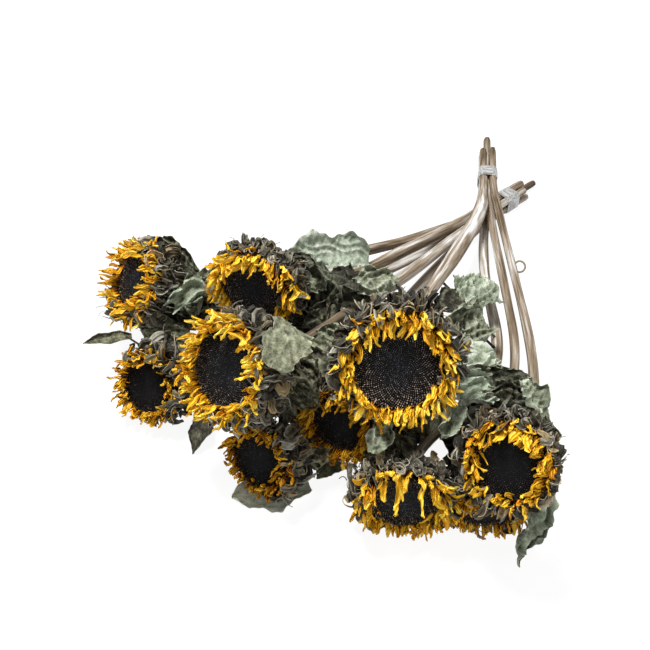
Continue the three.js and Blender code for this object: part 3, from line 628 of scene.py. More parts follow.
def broad_bract(start, turn, reach):
    """A broad bract that stands at a start angle, rolls up by some turn either way, and is crumpled."""

    def form(draw, sheet, angle, way):
        u, v, between = sheet["u"], sheet["v"], sheet["between"]
        rolled = draw.choice([-1, 1], p=[0.4, 0.6]) * draw.uniform(*turn) * v**2.2
        tilt = draw.uniform(*start) + rolled + [0, -20, 20, -40, 40, -60, 60][way]
        outline = np.clip((v + 0.3) ** 0.5 * (1.04 - v) ** 0.5 * 1.3, 0.12, 2)
        cup = draw.choice([-1, 1]) * draw.uniform(0.6, 3)
        length = draw.uniform(15, 26) * (0.3 + 0.7 * round_the_flower(reach, angle)) * (1 - 0.08 * way)
        return {
            "length": length * MM,
            "breadth": draw.uniform(3.2, 6.8) * MM * outline[:, None] * u,
            "slope": cup * between * (0.6 + 0.6 * v[:, None]) + pleats(draw, sheet, draw.uniform(0.3, 0.8)),
            "lift": 0.8 * MM * draw.uniform(-1, 1, (len(v), 1)) * abs(u),
            "tilt": np.radians(tilt) + rumpled(draw, sheet, 34),
            "sway": np.radians(draw.uniform(-50, 50) + draw.uniform(-120, 120) * v)
            + rumpled(draw, sheet, 24),
            "twist": np.radians(draw.uniform(-50, 50) + draw.uniform(-160, 160) * v),
            "thickness": BRACT_THICKNESS,
        }

    return form


def narrow_bract(start, turn, reach):
    """A narrow bract that twists along its length and curls up like a thread."""

    def form(draw, sheet, angle, way):
        u, v, between = sheet["u"], sheet["v"], sheet["between"]
        tilt = draw.uniform(*start) + draw.choice([-1, 1]) * draw.uniform(*turn) * v**1.4
        swung = draw.uniform(-70, 70) + draw.choice([-1, 1]) * draw.uniform(60, 340) * v**1.2
        length = draw.uniform(13, 30) * (0.35 + 0.65 * round_the_flower(reach, angle)) * (1 - 0.09 * way)
        return {
            "length": length * MM,
            "breadth": draw.uniform(0.5, 1.2) * MM * np.clip(1.1 - v**0.9, 0.3, 1)[:, None] * u,
            "slope": draw.uniform(-1, 1.4) * between * (1 - v[:, None]),
            "lift": 0 * u * v[:, None],
            "tilt": np.radians(tilt) + rumpled(draw, sheet, 22),
            "sway": np.radians(swung) + rumpled(draw, sheet, 22),
            "twist": np.radians(draw.uniform(-30, 30) + draw.uniform(-400, 400) * v),
            "thickness": BRACT_THICKNESS,
        }

    return form


bract_skin = dried_bract()
back_points, back_faces = back_master()
broad_sheet = flat_sheet(6, 9)
narrow_sheet = flat_sheet(2, 18)
# Rows of bracts from the edge to near the stem: the sheet, its form, the angles that they start at and
# roll up by, the space that each has round the head, and the row's radius as a share of the widest and
# height below the face.
BRACT_ROWS = [
    (broad_sheet, broad_bract, (25, 75), (140, 320), 4.4 * MM, 1.0, -6.4 * MM),
    (broad_sheet, broad_bract, (0, 50), (140, 340), 4.6 * MM, 1.0, -8.8 * MM),
    (broad_sheet, broad_bract, (-25, 30), (120, 320), 5.4 * MM, 0.96, -11.4 * MM),
    (broad_sheet, broad_bract, (-50, 20), (90, 280), 7.5 * MM, 0.86, -14 * MM),
    (broad_sheet, broad_bract, (-70, 0), (60, 220), 11 * MM, 0.66, -16.8 * MM),
    (narrow_sheet, narrow_bract, (20, 70), (60, 300), 3.8 * MM, 1.0, -6.6 * MM),
    (narrow_sheet, narrow_bract, (0, 50), (60, 340), 3.8 * MM, 1.0, -9 * MM),
    (narrow_sheet, narrow_bract, (-30, 40), (60, 340), 4.6 * MM, 0.92, -12.5 * MM),
]
# How far each flower's bracts reach, against the usual, at its right, top, left and bottom.
BRACT_REACH = {
    1: (0.7, 1.1, 0.2, 1.3),
    2: (1.2, 1.4, 0.1, 0.1),
    3: (0.9, 0.3, 0.3, 0.4),
    4: (1.0, 0.9, 0.1, 0.7),
    5: (0.9, 0.8, 0.0, 0.0),
    6: (1.0, 1.2, 0.9, 0.3),
    7: (0.5, 0.6, 0.6, 0.6),
    8: (1.0, 0.0, 1.0, 0.2),
    9: (0.0, 0.5, 0.7, 1.0),
    10: (0.3, 0.6, 0.4, 0.8),
}

for number, head in heads.items():
    draw = np.random.default_rng(40 + number)
    widest = head["radius"] + HEAD_OVERHANG - 0.6 * MM
    build = Build()
    turn = np.arctan2(back_points[:, 1], back_points[:, 0])
    deep = np.interp(-back_points[:, 2], [5, 19.5], [0, 1])
    ribs = 1 + 0.03 * np.sin(17 * turn + number) + 0.02 * np.sin(29 * turn) * deep
    back = back_points * np.array([widest, widest, MM])
    back[:, :2] *= ribs[:, None]
    build.take(in_row(head, back), back_faces, 0.12, back * 500)
    for sheet, form, start, roll, space, share, height in BRACT_ROWS:
        count = round(2 * math.pi * widest / space)
        for i in range(count):
            angle = (i + draw.uniform(-0.45, 0.45)) / count * 2 * math.pi
            laid = form(start, roll, BRACT_REACH[number])
            points, ahead = laid_clear(sheet, head, angle, widest * share, height, draw, laid)
            if points is None:
                continue
            edge = 0.3 * np.clip(abs(sheet["u_at"]) * 4 - 3, 0, 1) + 0.12 * sheet["v_at"]
            # Painted light and shade: on each side a bract is lighter where its cross-section stands
            # forward and darker in its hollows.
            painted_crease_light = 0.14 * np.clip(ahead * sheet["layer"] / MM, -1, 1)
            tone = draw.choice([0.0, 0.12, 0.26, 0.4, 0.54], p=[0.26, 0.28, 0.24, 0.16, 0.06])
            if sheet is narrow_sheet:
                tone += 0.1
            tan = draw.choice([0.0, 0.35, 1.0], p=[0.45, 0.3, 0.25]) * (sheet["layer"] > 0)
            grain = np.stack([sheet["u_at"] * 3 + 9 * i, sheet["v_at"] * 4, sheet["v_at"] * 0], axis=1)
            build.take(points, sheet["faces"], tone + edge + painted_crease_light + 0.1 * tan, grain, tan)
    build.piece(f"bracts_{number}", bract_skin, "bract", f"calyx_{number}")

# ---- Ray petals -----------------------------------------------------------------------------------
# The petals stand in three layers on the rim round the disc. They have dried bright yellow and short,
# pleated and crumpled. Orange to red-brown is painted into their folds as shade, and brighter yellow onto
# their ridges as light. The flower hung face down while it dried, so they stand forwards in a narrow ring,
# and droop the way that it was tilted.

PETAL_THICKNESS = 0.25 * MM
USUAL_DISC = 24 * MM  # the disc radius that the petals' sizes are given for

# How each flower's petals lie: droop, 0 for an even ring, to 1 for petals that all hang one way; deep,
# painted shade for heads that lie lower in the bunch, as how much more orange and darker they are than
# the brightest; and then, at the flower's right, top, left and bottom, how many degrees further back
# they lie, their length and how many of them there are, against the usual.
PETALS = {
    1: (0.2, 0.08, (-10, 14, 12, 14), (1.1, 1.15, 1.2, 1.3), (1, 1, 1, 1)),
    2: (0.2, 0.12, (5, 25, 10, 0), (0.95, 1.25, 1.0, 0.8), (1, 1, 1, 1)),
    3: (0.5, 0, (10, 5, 10, 0), (1.15, 1.1, 1.1, 0.7), (1, 1, 1, 0.6)),
    4: (0.5, 0, (0, 10, 5, 5), (0.95, 1.1, 1.05, 1.0), (1, 1, 1, 1)),
    5: (0.3, 0.24, (10, 0, 10, -25), (1.0, 0.9, 1.0, 0.5), (1, 0.9, 1, 1)),
    6: (0.9, 0, (0, 0, -8, 0), (1.05, 1.1, 0.95, 0.85), (1, 1, 1, 1)),
    7: (0.5, 0.2, (0, 0, 15, 15), (0.95, 0.95, 1.2, 1.1), (1, 1, 1, 1)),
    8: (0.4, 0, (0, 50, 0, -15), (1.1, 0.8, 1.1, 0.62), (1, 0.3, 1, 1)),
    9: (0.7, 0.07, (-50, -10, -35, -30), (0.8, 0.85, 1.0, 0.8), (0.9, 0.8, 1, 0.6)),
    10: (0.5, 0.16, (10, 10, 10, 10), (0.95, 0.95, 0.95, 0.85), (1, 1, 1, 1)),
}
# Long petals that hang over the disc: the angle that each is at, in degrees, and its length.
HANGING = {
    8: [(122, 1.2), (103, 1.8), (92, 1.4), (62, 1.9), (40, 1.3)],
    9: [(110, 1.0), (92, 1.15), (78, 1.05), (30, 1.0)],
}


def dried_petal():
    """Dried ray petal: papery and bright yellow, going orange and red-brown where its tone is low, as in
    the painted shade of its folds.
    """
    made, tree, shader, grain, tone = piece_material("dried_ray_petal")
    # Veins run along the petal, drawn about 0.6 mm apart.
    fine = [("Vector", grain), ("Scale", 1.0), ("Detail", 4.0), ("Roughness", 0.6)]
    veins = add(tree, "ShaderNodeTexNoise", fine)
    mixed = add(tree, "ShaderNodeMath", [(0, veins), (1, 0.5)], operation="SUBTRACT")
    mixed = add(tree, "ShaderNodeMath", [(0, mixed), (1, 0.7), (2, tone)], operation="MULTIPLY_ADD")
    gold = [
        (0.0, "#2E1602"), (0.16, "#7A3E04"), (0.32, "#C88205"),
        (0.46, "#F4B604"), (0.68, "#FFD410"), (1.0, "#FFEB78"),
    ]
    amber = [(0.0, "#3A1A02"), (0.2, "#874105"), (0.42, "#C87605"), (0.64, "#E99D06"), (1.0, "#FFC42A")]
    set_surface(tree, shader, two_ramps(tree, mixed, gold, amber), veins, 0.8, 0.5, 0.7)
    shader.inputs["Specular IOR Level"].default_value = 0.2
    return made


def petal_form(droop, back, long, layer, size, wide=1):
    """The petals of one layer: 0 leans in over the disc, 1 stands up, 2 lies back."""

    def form(draw, sheet, angle, way):
        u, v, between = sheet["u"], sheet["v"], sheet["between"]
        upright = [100, 82, 58][layer] - round_the_flower(back, angle) + draw.uniform(-20, 20)
        upright = math.radians(np.clip(upright + [0, 14, -14, 26, -26, 40, -40][way], 34, 140))
        # It grows upright and then hangs, out from the middle or in over the disc.
        hang = 0.9 * droop * np.minimum(1, 2.5 * v)
        out, aside = math.cos(upright) - hang * math.sin(angle), -hang * math.cos(angle)
        tilt = np.arctan2(math.sin(upright), np.hypot(out, aside))
        swung = math.radians(draw.uniform(-25, 25)) * np.minimum(1, 2 * v)
        sway = np.unwrap(np.arctan2(aside, out)) + swung
        curl = np.radians(draw.uniform(-110, 110)) * v**2.5
        outline = np.clip((v + 0.12) ** 0.4 * (1.04 - v) ** 0.55 * 1.33, 0.05, 2)
        ragged = draw.uniform(0.72, 1.15, (len(v), 1)) ** (abs(u) > 0.9)
        rolled = draw.uniform(-0.9, 1.6) * between * (0.4 + v[:, None])
        return {
            "length": draw.uniform(12, 18.5) * MM * size * round_the_flower(long, angle) * (1 - 0.06 * way),
            "breadth": draw.uniform(3.2, 5.4) * MM * size**0.4 * wide * outline[:, None] * ragged * u,
            "slope": rolled + pleats(draw, sheet, draw.uniform(0.9, 1.4)),
            "lift": 0.9 * MM * draw.uniform(-1, 1, (len(v), 1)) * u**2,
            "tilt": tilt + curl + rumpled(draw, sheet, 50),
            "sway": sway + np.radians(draw.uniform(-60, 60)) * v**2 + rumpled(draw, sheet, 34),
            "twist": np.radians(draw.uniform(-40, 40) + draw.uniform(-110, 110) * v),
            "thickness": PETAL_THICKNESS,
        }

    return form


petal_skin = dried_petal()
petal_sheet = flat_sheet(6, 9)
# Each layer's space for a petal round the rim, and how far out and how high it stands, in mm.
PETAL_LAYERS = [(4.2, 0.8, -2.2), (3.5, 2.0, -2.6), (3.4, 3.2, -3.6)]
u, v = petal_sheet["u_at"], petal_sheet["v_at"]
# Painted light and shade: on each side of a petal, alternate pleats are painted lighter as ridges and
# darker as valleys.
fold = np.where(petal_sheet["column"] % 2, 1, -1) * petal_sheet["layer"]
# Each petal is darker towards its root, partly its own colour and partly painted shade in the deep ring
# round the disc.
root_colour_and_shade = 0.7 * np.clip(1 - 2.1 * v, 0, 1)

for number, head in heads.items():
    draw = np.random.default_rng(60 + number)
    build = Build()
    droop, deep, back, long, full = PETALS[number]
    size = 0.4 + 0.6 * head["radius"] / USUAL_DISC
    rim = head["radius"] + 0.35 * MM
    for layer, (space, out, height) in enumerate(PETAL_LAYERS):
        form = petal_form(droop, back, long, layer, size)
        count = round(2 * math.pi * rim / (space * MM))
        for i in range(count):
            angle = (i + 0.5 * (layer % 2) + draw.uniform(-0.4, 0.4)) / count * 2 * math.pi
            if draw.uniform(0, 1) > round_the_flower(full, angle):
                continue
            points, _ = laid_clear(petal_sheet, head, angle, rim + out * MM, height * MM, draw, form)
            if points is None:
                continue
            # Painted shade: the dark edges are partly the petals' own red-brown edges and partly shade
            # between the petals; deep adds painted shade and amber for heads lying lower.
            edge = draw.uniform(0, 0.5) * np.clip(abs(u) * 5 - 4, 0, 1)
            tone = draw.normal(0.75, 0.14) + 0.44 * fold - root_colour_and_shade - edge - deep
            amber = min(1, draw.choice([0.0, 0.3, 0.8], p=[0.72, 0.22, 0.06]) + 0.8 * deep)
            grain = np.stack([u * 5 + 13 * i, v * 2.4, v * 0 + layer], axis=1)
            build.take(points, petal_sheet["faces"], tone, grain, amber)
    for degrees, reach in HANGING.get(number, ()):
        form = petal_form(1.3, [10] * 4, [reach] * 4, 0, size, 1.35)
        points, _ = laid_clear(petal_sheet, head, math.radians(degrees), rim, -2 * MM, draw, form)
        if points is not None:
            grain = np.stack([u * 5 + degrees, v * 2.4 * reach, v * 0], axis=1)
            # The hanging petals' pleats carry the same painted light and shade.
            build.take(points, petal_sheet["faces"], 0.72 + 0.35 * fold, grain, 0.1)
    # The rim that the petals grow from.
    turns = np.linspace(0, 2 * math.pi, 65)
    ring = np.stack([np.cos(turns), np.sin(turns), turns * 0], axis=1) * (rim + 1.7 * MM) - [0, 0, 3.6 * MM]
    points, faces, turn, along = tube(in_row(head, ring), 1.3 * MM, 8)
    build.take(points, faces, 0.05, np.stack([turn, along * 300, turn * 0], axis=1))
    build.piece(f"petals_{number}", petal_skin, "petal", f"rays_{number}")

# ---- Leaves ---------------------------------------------------------------------------------------
# The leaves are dried sunflower leaves, grey-green above and paler below, crinkled between their veins
# with rough, curled edges. Each hangs by its dried stalk from one of the stems.

LEAF_THICKNESS = 0.4
SEAT = 0.12  # where the stalk meets the leaf, as a share of its length
STALK_SHARES = np.linspace(0, 1, 16)[:, None]  # the places along a leaf stalk
# The layout's own zero, from which the leaves' places are measured: it is found from flower 6.
FLOWER_6 = np.array([44, -3, 114]) * MM
layout_zero = heads[6]["centre"] - FLOWER_6

# The ends of each leaf's midrib in the layout in mm, the way its upper side looks, and its width; bow,
# how far the midrib arches; cup, how far the edges rise; crumple, depth of its folds; the stem that
# carries it; its tone from dark to pale, and its hue from grey-green to olive. Some lie a little off
# their packed leaves, as the photo shows them.
LEAVES = {
    "upper": ([34, 152, 58], [-38, 133, 72], [0.1, -0.7, 0.7], 52, 5, 4, 5, 3, 0.68, 0.05),
    "between": ([55, 125, 66], [15, 112, 74], [0, -0.6, 0.8], 26, 5, -5, 4, 4, 0.5, 0.4),
    "right_1": ([128, 136, 56], [98, 104, 60], [-0.3, -0.5, 0.85], 40, 6, -4, 6, 8, 0.58, 0.2),
    "right_2": ([116, 92, 58], [86, 76, 66], [0, -0.5, 0.85], 38, 5, 5, 6, 8, 0.4, 0.4),
    "right_3": ([114, 62, 62], [84, 24, 68], [-0.1, -0.5, 0.85], 38, 5, -5, 6, 8, 0.64, 0.2),
    "right_4": ([108, 14, 74], [80, 0, 76], [0.1, -0.4, 0.9], 30, 4, 5, 5, 9, 0.54, 0.1),
    "right_edge": ([127, 10, 84], [139, -14, 74], [0.4, -0.6, 0.7], 18, 4, 4, 4, 9, 0.5, 0.3),
    "shield": ([-19, 26, 116], [-33, -11, 118], [0.1, -0.7, 0.72], 29, 6, 1, 1.8, 4, 0.36, 0.6),
    # The floor leaf's tone is painted pale, as painted light against the shade that it lies in under the
    # heads.
    "floor": ([-12, -8, -0.8], [-64, -24, -0.8], [0, 0, 1], 40, 0, 4, 1.2, 5, 0.88, 0.1),
    "left_tip": ([-147, 103, 30], [-184, 97, 28], [0, -0.5, 0.85], 12, 2, 3, 1, 2, 0.2, 0.7),
    "left_low": ([-84, 44, 14], [-94, 13, 2], [-0.2, -0.8, 0.6], 18, 2, 3, 1.5, 2, 0.0, 0.6),
    "left_back": ([-90, 116, 74], [-116, 98, 62], [0.1, -0.7, 0.7], 22, 5, 4, 3, 1, 0.45, 0.2),
    "crown": ([-98, 140, 60], [-137, 168, 74], [-0.1, -0.6, 0.8], 22, 5, 4, 3, 1, 0.1, 0.6),
    "right_low": ([138, -48, 50], [118, -72, 3], [0.3, -0.9, 0.3], 19, 6, 6, 3, 9, 0.4, 0.2),
    "middle": ([84, -14, 90], [67, -35, 79], [0.1, -0.8, 0.6], 15, 4, 5, 3, 6, 0.4, 0.2),
    "centre_low": ([40, -14, 76], [28, -40, 68], [0, -0.6, 0.8], 18, 3, 3, 2, 7, 0.4, 0.3),
    "centre_floor": ([12, 16, -0.8], [-6, -8, -0.8], [0, 0, 1], 20, 0, 3, 1, 7, 0.3, 0.3),
}


def dried_leaf():
    """Dried leaf: grey-green or olive, blotched and veined; its tone carries painted light on its ridges
    and painted shade in its creases.
    """
    made, tree, shader, grain, tone = piece_material("dried_leaf")
    # Blotches about 8 mm across, and a net of veins about 2 mm apart.
    broad = [("Vector", grain), ("Scale", 0.16), ("Detail", 8.0), ("Roughness", 0.65)]
    blotches = add(tree, "ShaderNodeTexNoise", broad)
    net = add(tree, "ShaderNodeTexVoronoi", [("Vector", grain), ("Scale", 0.5)], feature="DISTANCE_TO_EDGE")
    fade = [("Value", net), ("From Max", 0.16), ("To Min", 0.16), ("To Max", 0.0)]
    lines = add(tree, "ShaderNodeMapRange", fade)
    mixed = add(tree, "ShaderNodeMath", [(0, blotches), (1, 0.5)], operation="SUBTRACT")
    mixed = add(tree, "ShaderNodeMath", [(0, mixed), (1, 1.3), (2, tone)], operation="MULTIPLY_ADD")
    mixed = add(tree, "ShaderNodeMath", [(0, mixed), (1, lines)])
    green = [
        (0.0, "#1F1E18"), (0.2, "#45483B"), (0.42, "#6F7966"),
        (0.62, "#8F9B87"), (0.82, "#AEB9A5"), (1.0, "#D5DACC"),
    ]
    olive = [(0.0, "#221C12"), (0.25, "#4F4934"), (0.48, "#7B7759"), (0.7, "#9F9C7E"), (1.0, "#D0CDB6")]
    set_surface(tree, shader, two_ramps(tree, mixed, green, olive), blotches, 0.8, 1.2, 0.85)
    return made


def draws(seed):
    """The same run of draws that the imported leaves' folds were made with."""
    state = seed
    while True:
        state = (state * 1664525 + 1013904223) % 4294967296
        yield state / 4294967296


def packed_folds(width, crumple, seed):
    """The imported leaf's folds at its corners, and the phase of its cut edge."""
    numbers = draws(seed)
    phase = 6 * next(numbers)
    rows, columns = (6, 4) if width > 25 else (4, 2)
    folds = np.empty((rows + 1, columns + 1))
    for i in range(rows + 1):
        for j in range(columns + 1):
            side = 2 * j / columns - 1
            wave = math.sin(5.1 * i / rows + 2.3 * side + phase) - 0.6 + 1.2 * next(numbers)
            folds[i, j] = 0.5 * crumple * wave * abs(side)
    return folds, phase


def between_corners(folds, s, t):
    """The folds at s from root to tip and t from -1 to 1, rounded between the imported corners."""
    i = np.clip(s * (folds.shape[0] - 1), 0, folds.shape[0] - 1.001)
    j = np.clip((t + 1) / 2 * (folds.shape[1] - 1), 0, folds.shape[1] - 1.001)
    a, b = i.astype(int), j.astype(int)
    p, q = i - a, j - b
    p, q = p * p * (3 - 2 * p), q * q * (3 - 2 * q)
    low = folds[a, b] * (1 - q) + folds[a, b + 1] * q
    high = folds[a + 1, b] * (1 - q) + folds[a + 1, b + 1] * q
    return low * (1 - p) + high * p


def crushed(flat, draw, size):
    """How a shrivelled leaf stands, about -1 to 1: long folds from root to tip like gathered cloth, size
    mm apart, with slanting ones across them and finer ones over all."""
    total = 0
    x, y = flat[..., 0], flat[..., 1]
    ways = draw.uniform(1.2, 1.9), draw.uniform(0, 3.1), draw.uniform(0, 3.1)
    for share, way in zip((1.0, 0.6, 0.36), ways):
        apart = size * share**0.7 * draw.uniform(0.85, 1.2)
        wander = 0.3 * np.sin(x / size * 1.9 + 5 * way) + 0.3 * np.sin(y / size * 2.2 - 2 * way)
        place = (x * math.cos(way) + y * math.sin(way)) / apart + wander + draw.uniform(0, 9)
        total = total + share * (1.2 - 2 * abs(np.sin(math.pi * place)))
    return total / 1.9


def stalk_line(node, number, seat):
    """The leaf stalk's line, from its stem to its seat in the leaf."""
    packed = points_of(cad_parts[node].data)
    line = stem_lines[number]
    away = np.linalg.norm(packed[:, None] - line[None], axis=2)
    foot = line[np.unravel_index(np.argmin(away), away.shape)[1]]
    reach = seat - foot
    start = foot + unit(reach) * STEM_RADIUS * 0.8
    middle = start + 0.5 * (seat - start) + np.array([0, 0, -0.08 * np.linalg.norm(reach)])
    share = STALK_SHARES
    return (1 - share) ** 2 * start + 2 * share * (1 - share) * middle + share**2 * seat


def leaf_form(sheet, draw, length, width, bow, cup, folds, phase, crush, curl, blunt=0.75):
    """A leaf's shape in mm, and its look: where each point is on the flat leaf, and how high its creases
    and veins stand. crush: depth of its creases. curl: how far its edges and tip have rolled up, in
    radians. blunt: lower for a squarer outline."""
    s, t = sheet["v"][:, None], sheet["u"]
    heart = np.sin(math.pi * np.minimum(1, s * 0.86 + 0.14)) ** blunt
    half = np.maximum(0.5 * heart * (1 + 0.12 * np.cos(phase + 2 * t + 14 * s)), 0.06) * width
    half = half * (1 + 0.04 * np.sin(47 * s + phase + 2 * t) * abs(t) ** 3)
    flat = np.stack([s * length + 0 * t, t * half], axis=2)
    crumple = crushed(flat, draw, 8)
    side_vein = abs((s * 6.2 - 2.6 * abs(t) + 0.2 * t + 0.5) % 1 - 0.5)
    veins = np.maximum(np.exp(-((t * half / 0.9) ** 2)), 0.6 * np.exp(-((side_vein * 6) ** 2)))
    waves = draw.uniform(3, 7, 2), draw.uniform(0, 6, 2), draw.uniform(-0.3, 1, 2)
    left, right = (curl * (waves[2][i] + 0.9 * np.sin(waves[0][i] * s + waves[1][i])) for i in (0, 1))
    rolled = np.clip((abs(t) - 0.45) / 0.55, 0, 1) ** 1.5 * np.where(t < 0, -left, right)
    slope = np.arctan(2 * cup * t / half) + rolled
    tip = draw.choice([-1, 1]) * curl * np.clip((s - 0.72) / 0.28, 0, 1) ** 1.5
    shape = {
        "length": length,
        "breadth": t * half,
        "slope": (slope[:, 1:] + slope[:, :-1]) / 2,
        "lift": folds + crush * crumple * np.minimum(1, 6 * s) + 0.5 * veins,
        "tilt": (np.arctan(4 * bow * (1 - 2 * s) / length) + tip)[:, 0],
        "sway": 0 * s[:, 0],
        "twist": 0 * s[:, 0],
        "thickness": LEAF_THICKNESS,
    }
    return shape, (flat, crumple, veins)


def take_leaf(build, sheet, points, look, tone, offset, hue, ridges=1):
    """Adds the leaf, with painted light on its ridges and painted shade in its creases, and pale on its
    veins,
    its edge and its back. ridges: how strong that painted light and shade are. offset: moves it in the
    leaves' pattern, which is in mm over the flat leaf."""
    flat, crumple, veins = look
    row, column = sheet["row"], sheet["column"]
    # Painted light and shade: on each side the crumpled ridges are lighter and the creases darker.
    painted_ridge_light = (crumple * ridges)[row, column] * sheet["layer"]
    edge = np.clip((abs(sheet["u_at"]) - 0.9) * 10, 0, 1)
    tone = tone + 0.27 * painted_ridge_light + 0.16 * veins[row, column] + 0.16 * edge + 0.06 * (sheet["layer"] < 0)
    place = flat[row, column]
    grain = np.concatenate([place, 0 * place[:, :1] + offset], axis=1)
    build.take(points, sheet["faces"], tone, grain, hue)


def seat_in(sheet, points):
    """Where the stalk meets the leaf."""
    return points[np.argmin(np.hypot(sheet["v_at"] - SEAT, sheet["u_at"]))]


def take_stalk(build, path, tone, hue):
    """Adds a leaf stalk along a path, thinner towards the leaf."""
    points, faces, turn, gone = tube(path, STALK_RADIUS * np.linspace(1.25, 0.8, len(path))[:, None], 10)
    grain = np.stack([np.cos(turn) * 6, np.sin(turn) * 6, gone * 100], axis=1)
    build.take(points, faces, tone, grain, hue)


# How deep each leaf is crushed, in mm, how far its edges have rolled, in radians, and its outline.
CRUSHED_LEAF = (3.6, 2.0, 0.6)
FLAT_LEAVES = {
    "floor": (0.6, 0.5, 0.6),
    "centre_floor": (0.6, 0.5, 0.75),
    "shield": (0.8, 0.4, 0.26),
    "upper": (1.1, 0.8, 0.42),
    "left_tip": (0.5, 0.5, 0.9),
    "left_low": (0.6, 0.5, 0.9),
}

leaf_skin = dried_leaf()
for index, (name, given) in enumerate(LEAVES.items()):
    root, tip, face, width, bow, cup, crumple, number, tone, olive = given
    root, tip = np.array(root, float), np.array(tip, float)
    length = np.linalg.norm(tip - root)
    along = (tip - root) / length
    face = unit(np.array(face) - along * (np.array(face) @ along))
    corners, phase = packed_folds(width, crumple, 40 + index)
    sheet = flat_sheet(2 * round(width * 0.5) + 6, round(length) + 6)
    s, t = sheet["v"][:, None], sheet["u"]
    folds = between_corners(corners, s + 0 * t, t + 0 * s)
    crush, curl, blunt = FLAT_LEAVES.get(name, CRUSHED_LEAF)
    draw = np.random.default_rng(120 + index)
    shape, look = leaf_form(sheet, draw, length, width, bow, cup, folds, phase, crush, curl, blunt)
    points, _, _ = bent(sheet, root, along, face, shape)
    points[:, 2] = np.maximum(points[:, 2], 0.3 + 0.2 * sheet["layer"])
    points = layout_zero + points * MM
    build = Build()
    # The flatter a leaf is, the weaker the painted light and shade on its ridges and creases.
    take_leaf(build, sheet, points, look, tone, 60 * index, olive, min(1, 0.35 + crush / 4))
    take_stalk(build, stalk_line(f"leaf_{name}", number, seat_in(sheet, points)), tone - 0.1, olive)
    build.piece(f"blade_{name}", leaf_skin, "leaf", f"leaf_{name}")

# ---- Neck leaves ----------------------------------------------------------------------------------
# Small leaves that grew just under each head and have shrivelled against the stem. They are crushed
# and rolled nearly shut, dark grey-green, partly as painted shade, and fill the space between the heads.

# How many hang from each stem, and how far from the head they reach along it.
NECK_LEAVES = {1: 18, 2: 18, 3: 14, 4: 17, 5: 11, 6: 20, 7: 18, 8: 10, 9: 10, 10: 8}
NECK = 75 * MM
NECK_TRIALS = 24
NECK_RISE = 20  # mm that a leaf may stand over its root
NECK_AHEAD = 45 * MM  # how far ahead of any head none may stand
# Painted shade: the neck leaves of these flowers, deep between the heads, are darker by this much.
NECK_SHADE = {3: 0.14, 6: 0.12, 7: 0.12, 9: 0.08, 10: 0.08}  # how much darker those of each are
BARE_FROM = {1: 178, 3: 142}  # mm along the layout, where each stem is bare; 130 for the others
# More of them, pressed flat where the flowers crowd together: the ends in the layout in mm, and width.
PRESSED_LEAVES = {
    1: [((-104, 106, 24), (-146, 110, 22), 30), ((-78, 138, 32), (-110, 124, 28), 36)],
    2: [((-108, 96, 20), (-136, 96, 26), 24)],
    3: [((-4, 116, 54), (-26, 92, 56), 30)],
    6: [((32, 116, 62), (2, 106, 58), 26), ((108, 86, 58), (92, 66, 64), 20),
        ((106, 50, 60), (90, 30, 66), 20), ((100, 114, 60), (80, 92, 66), 24)],
    7: [((22, 106, 62), (-18, 78, 62), 28), ((14, 106, 50), (-8, 62, 52), 38),
        ((8, 70, 44), (-2, 34, 46), 30), ((-10, 106, 50), (18, 84, 48), 32),
        ((-26, 94, 50), (-2, 76, 50), 26)],
}


def facing_up(along):
    """The way that a leaf's upper side looks, up and forwards."""
    return unit(np.cross(along, np.cross([0, -0.6, 0.8], along)))


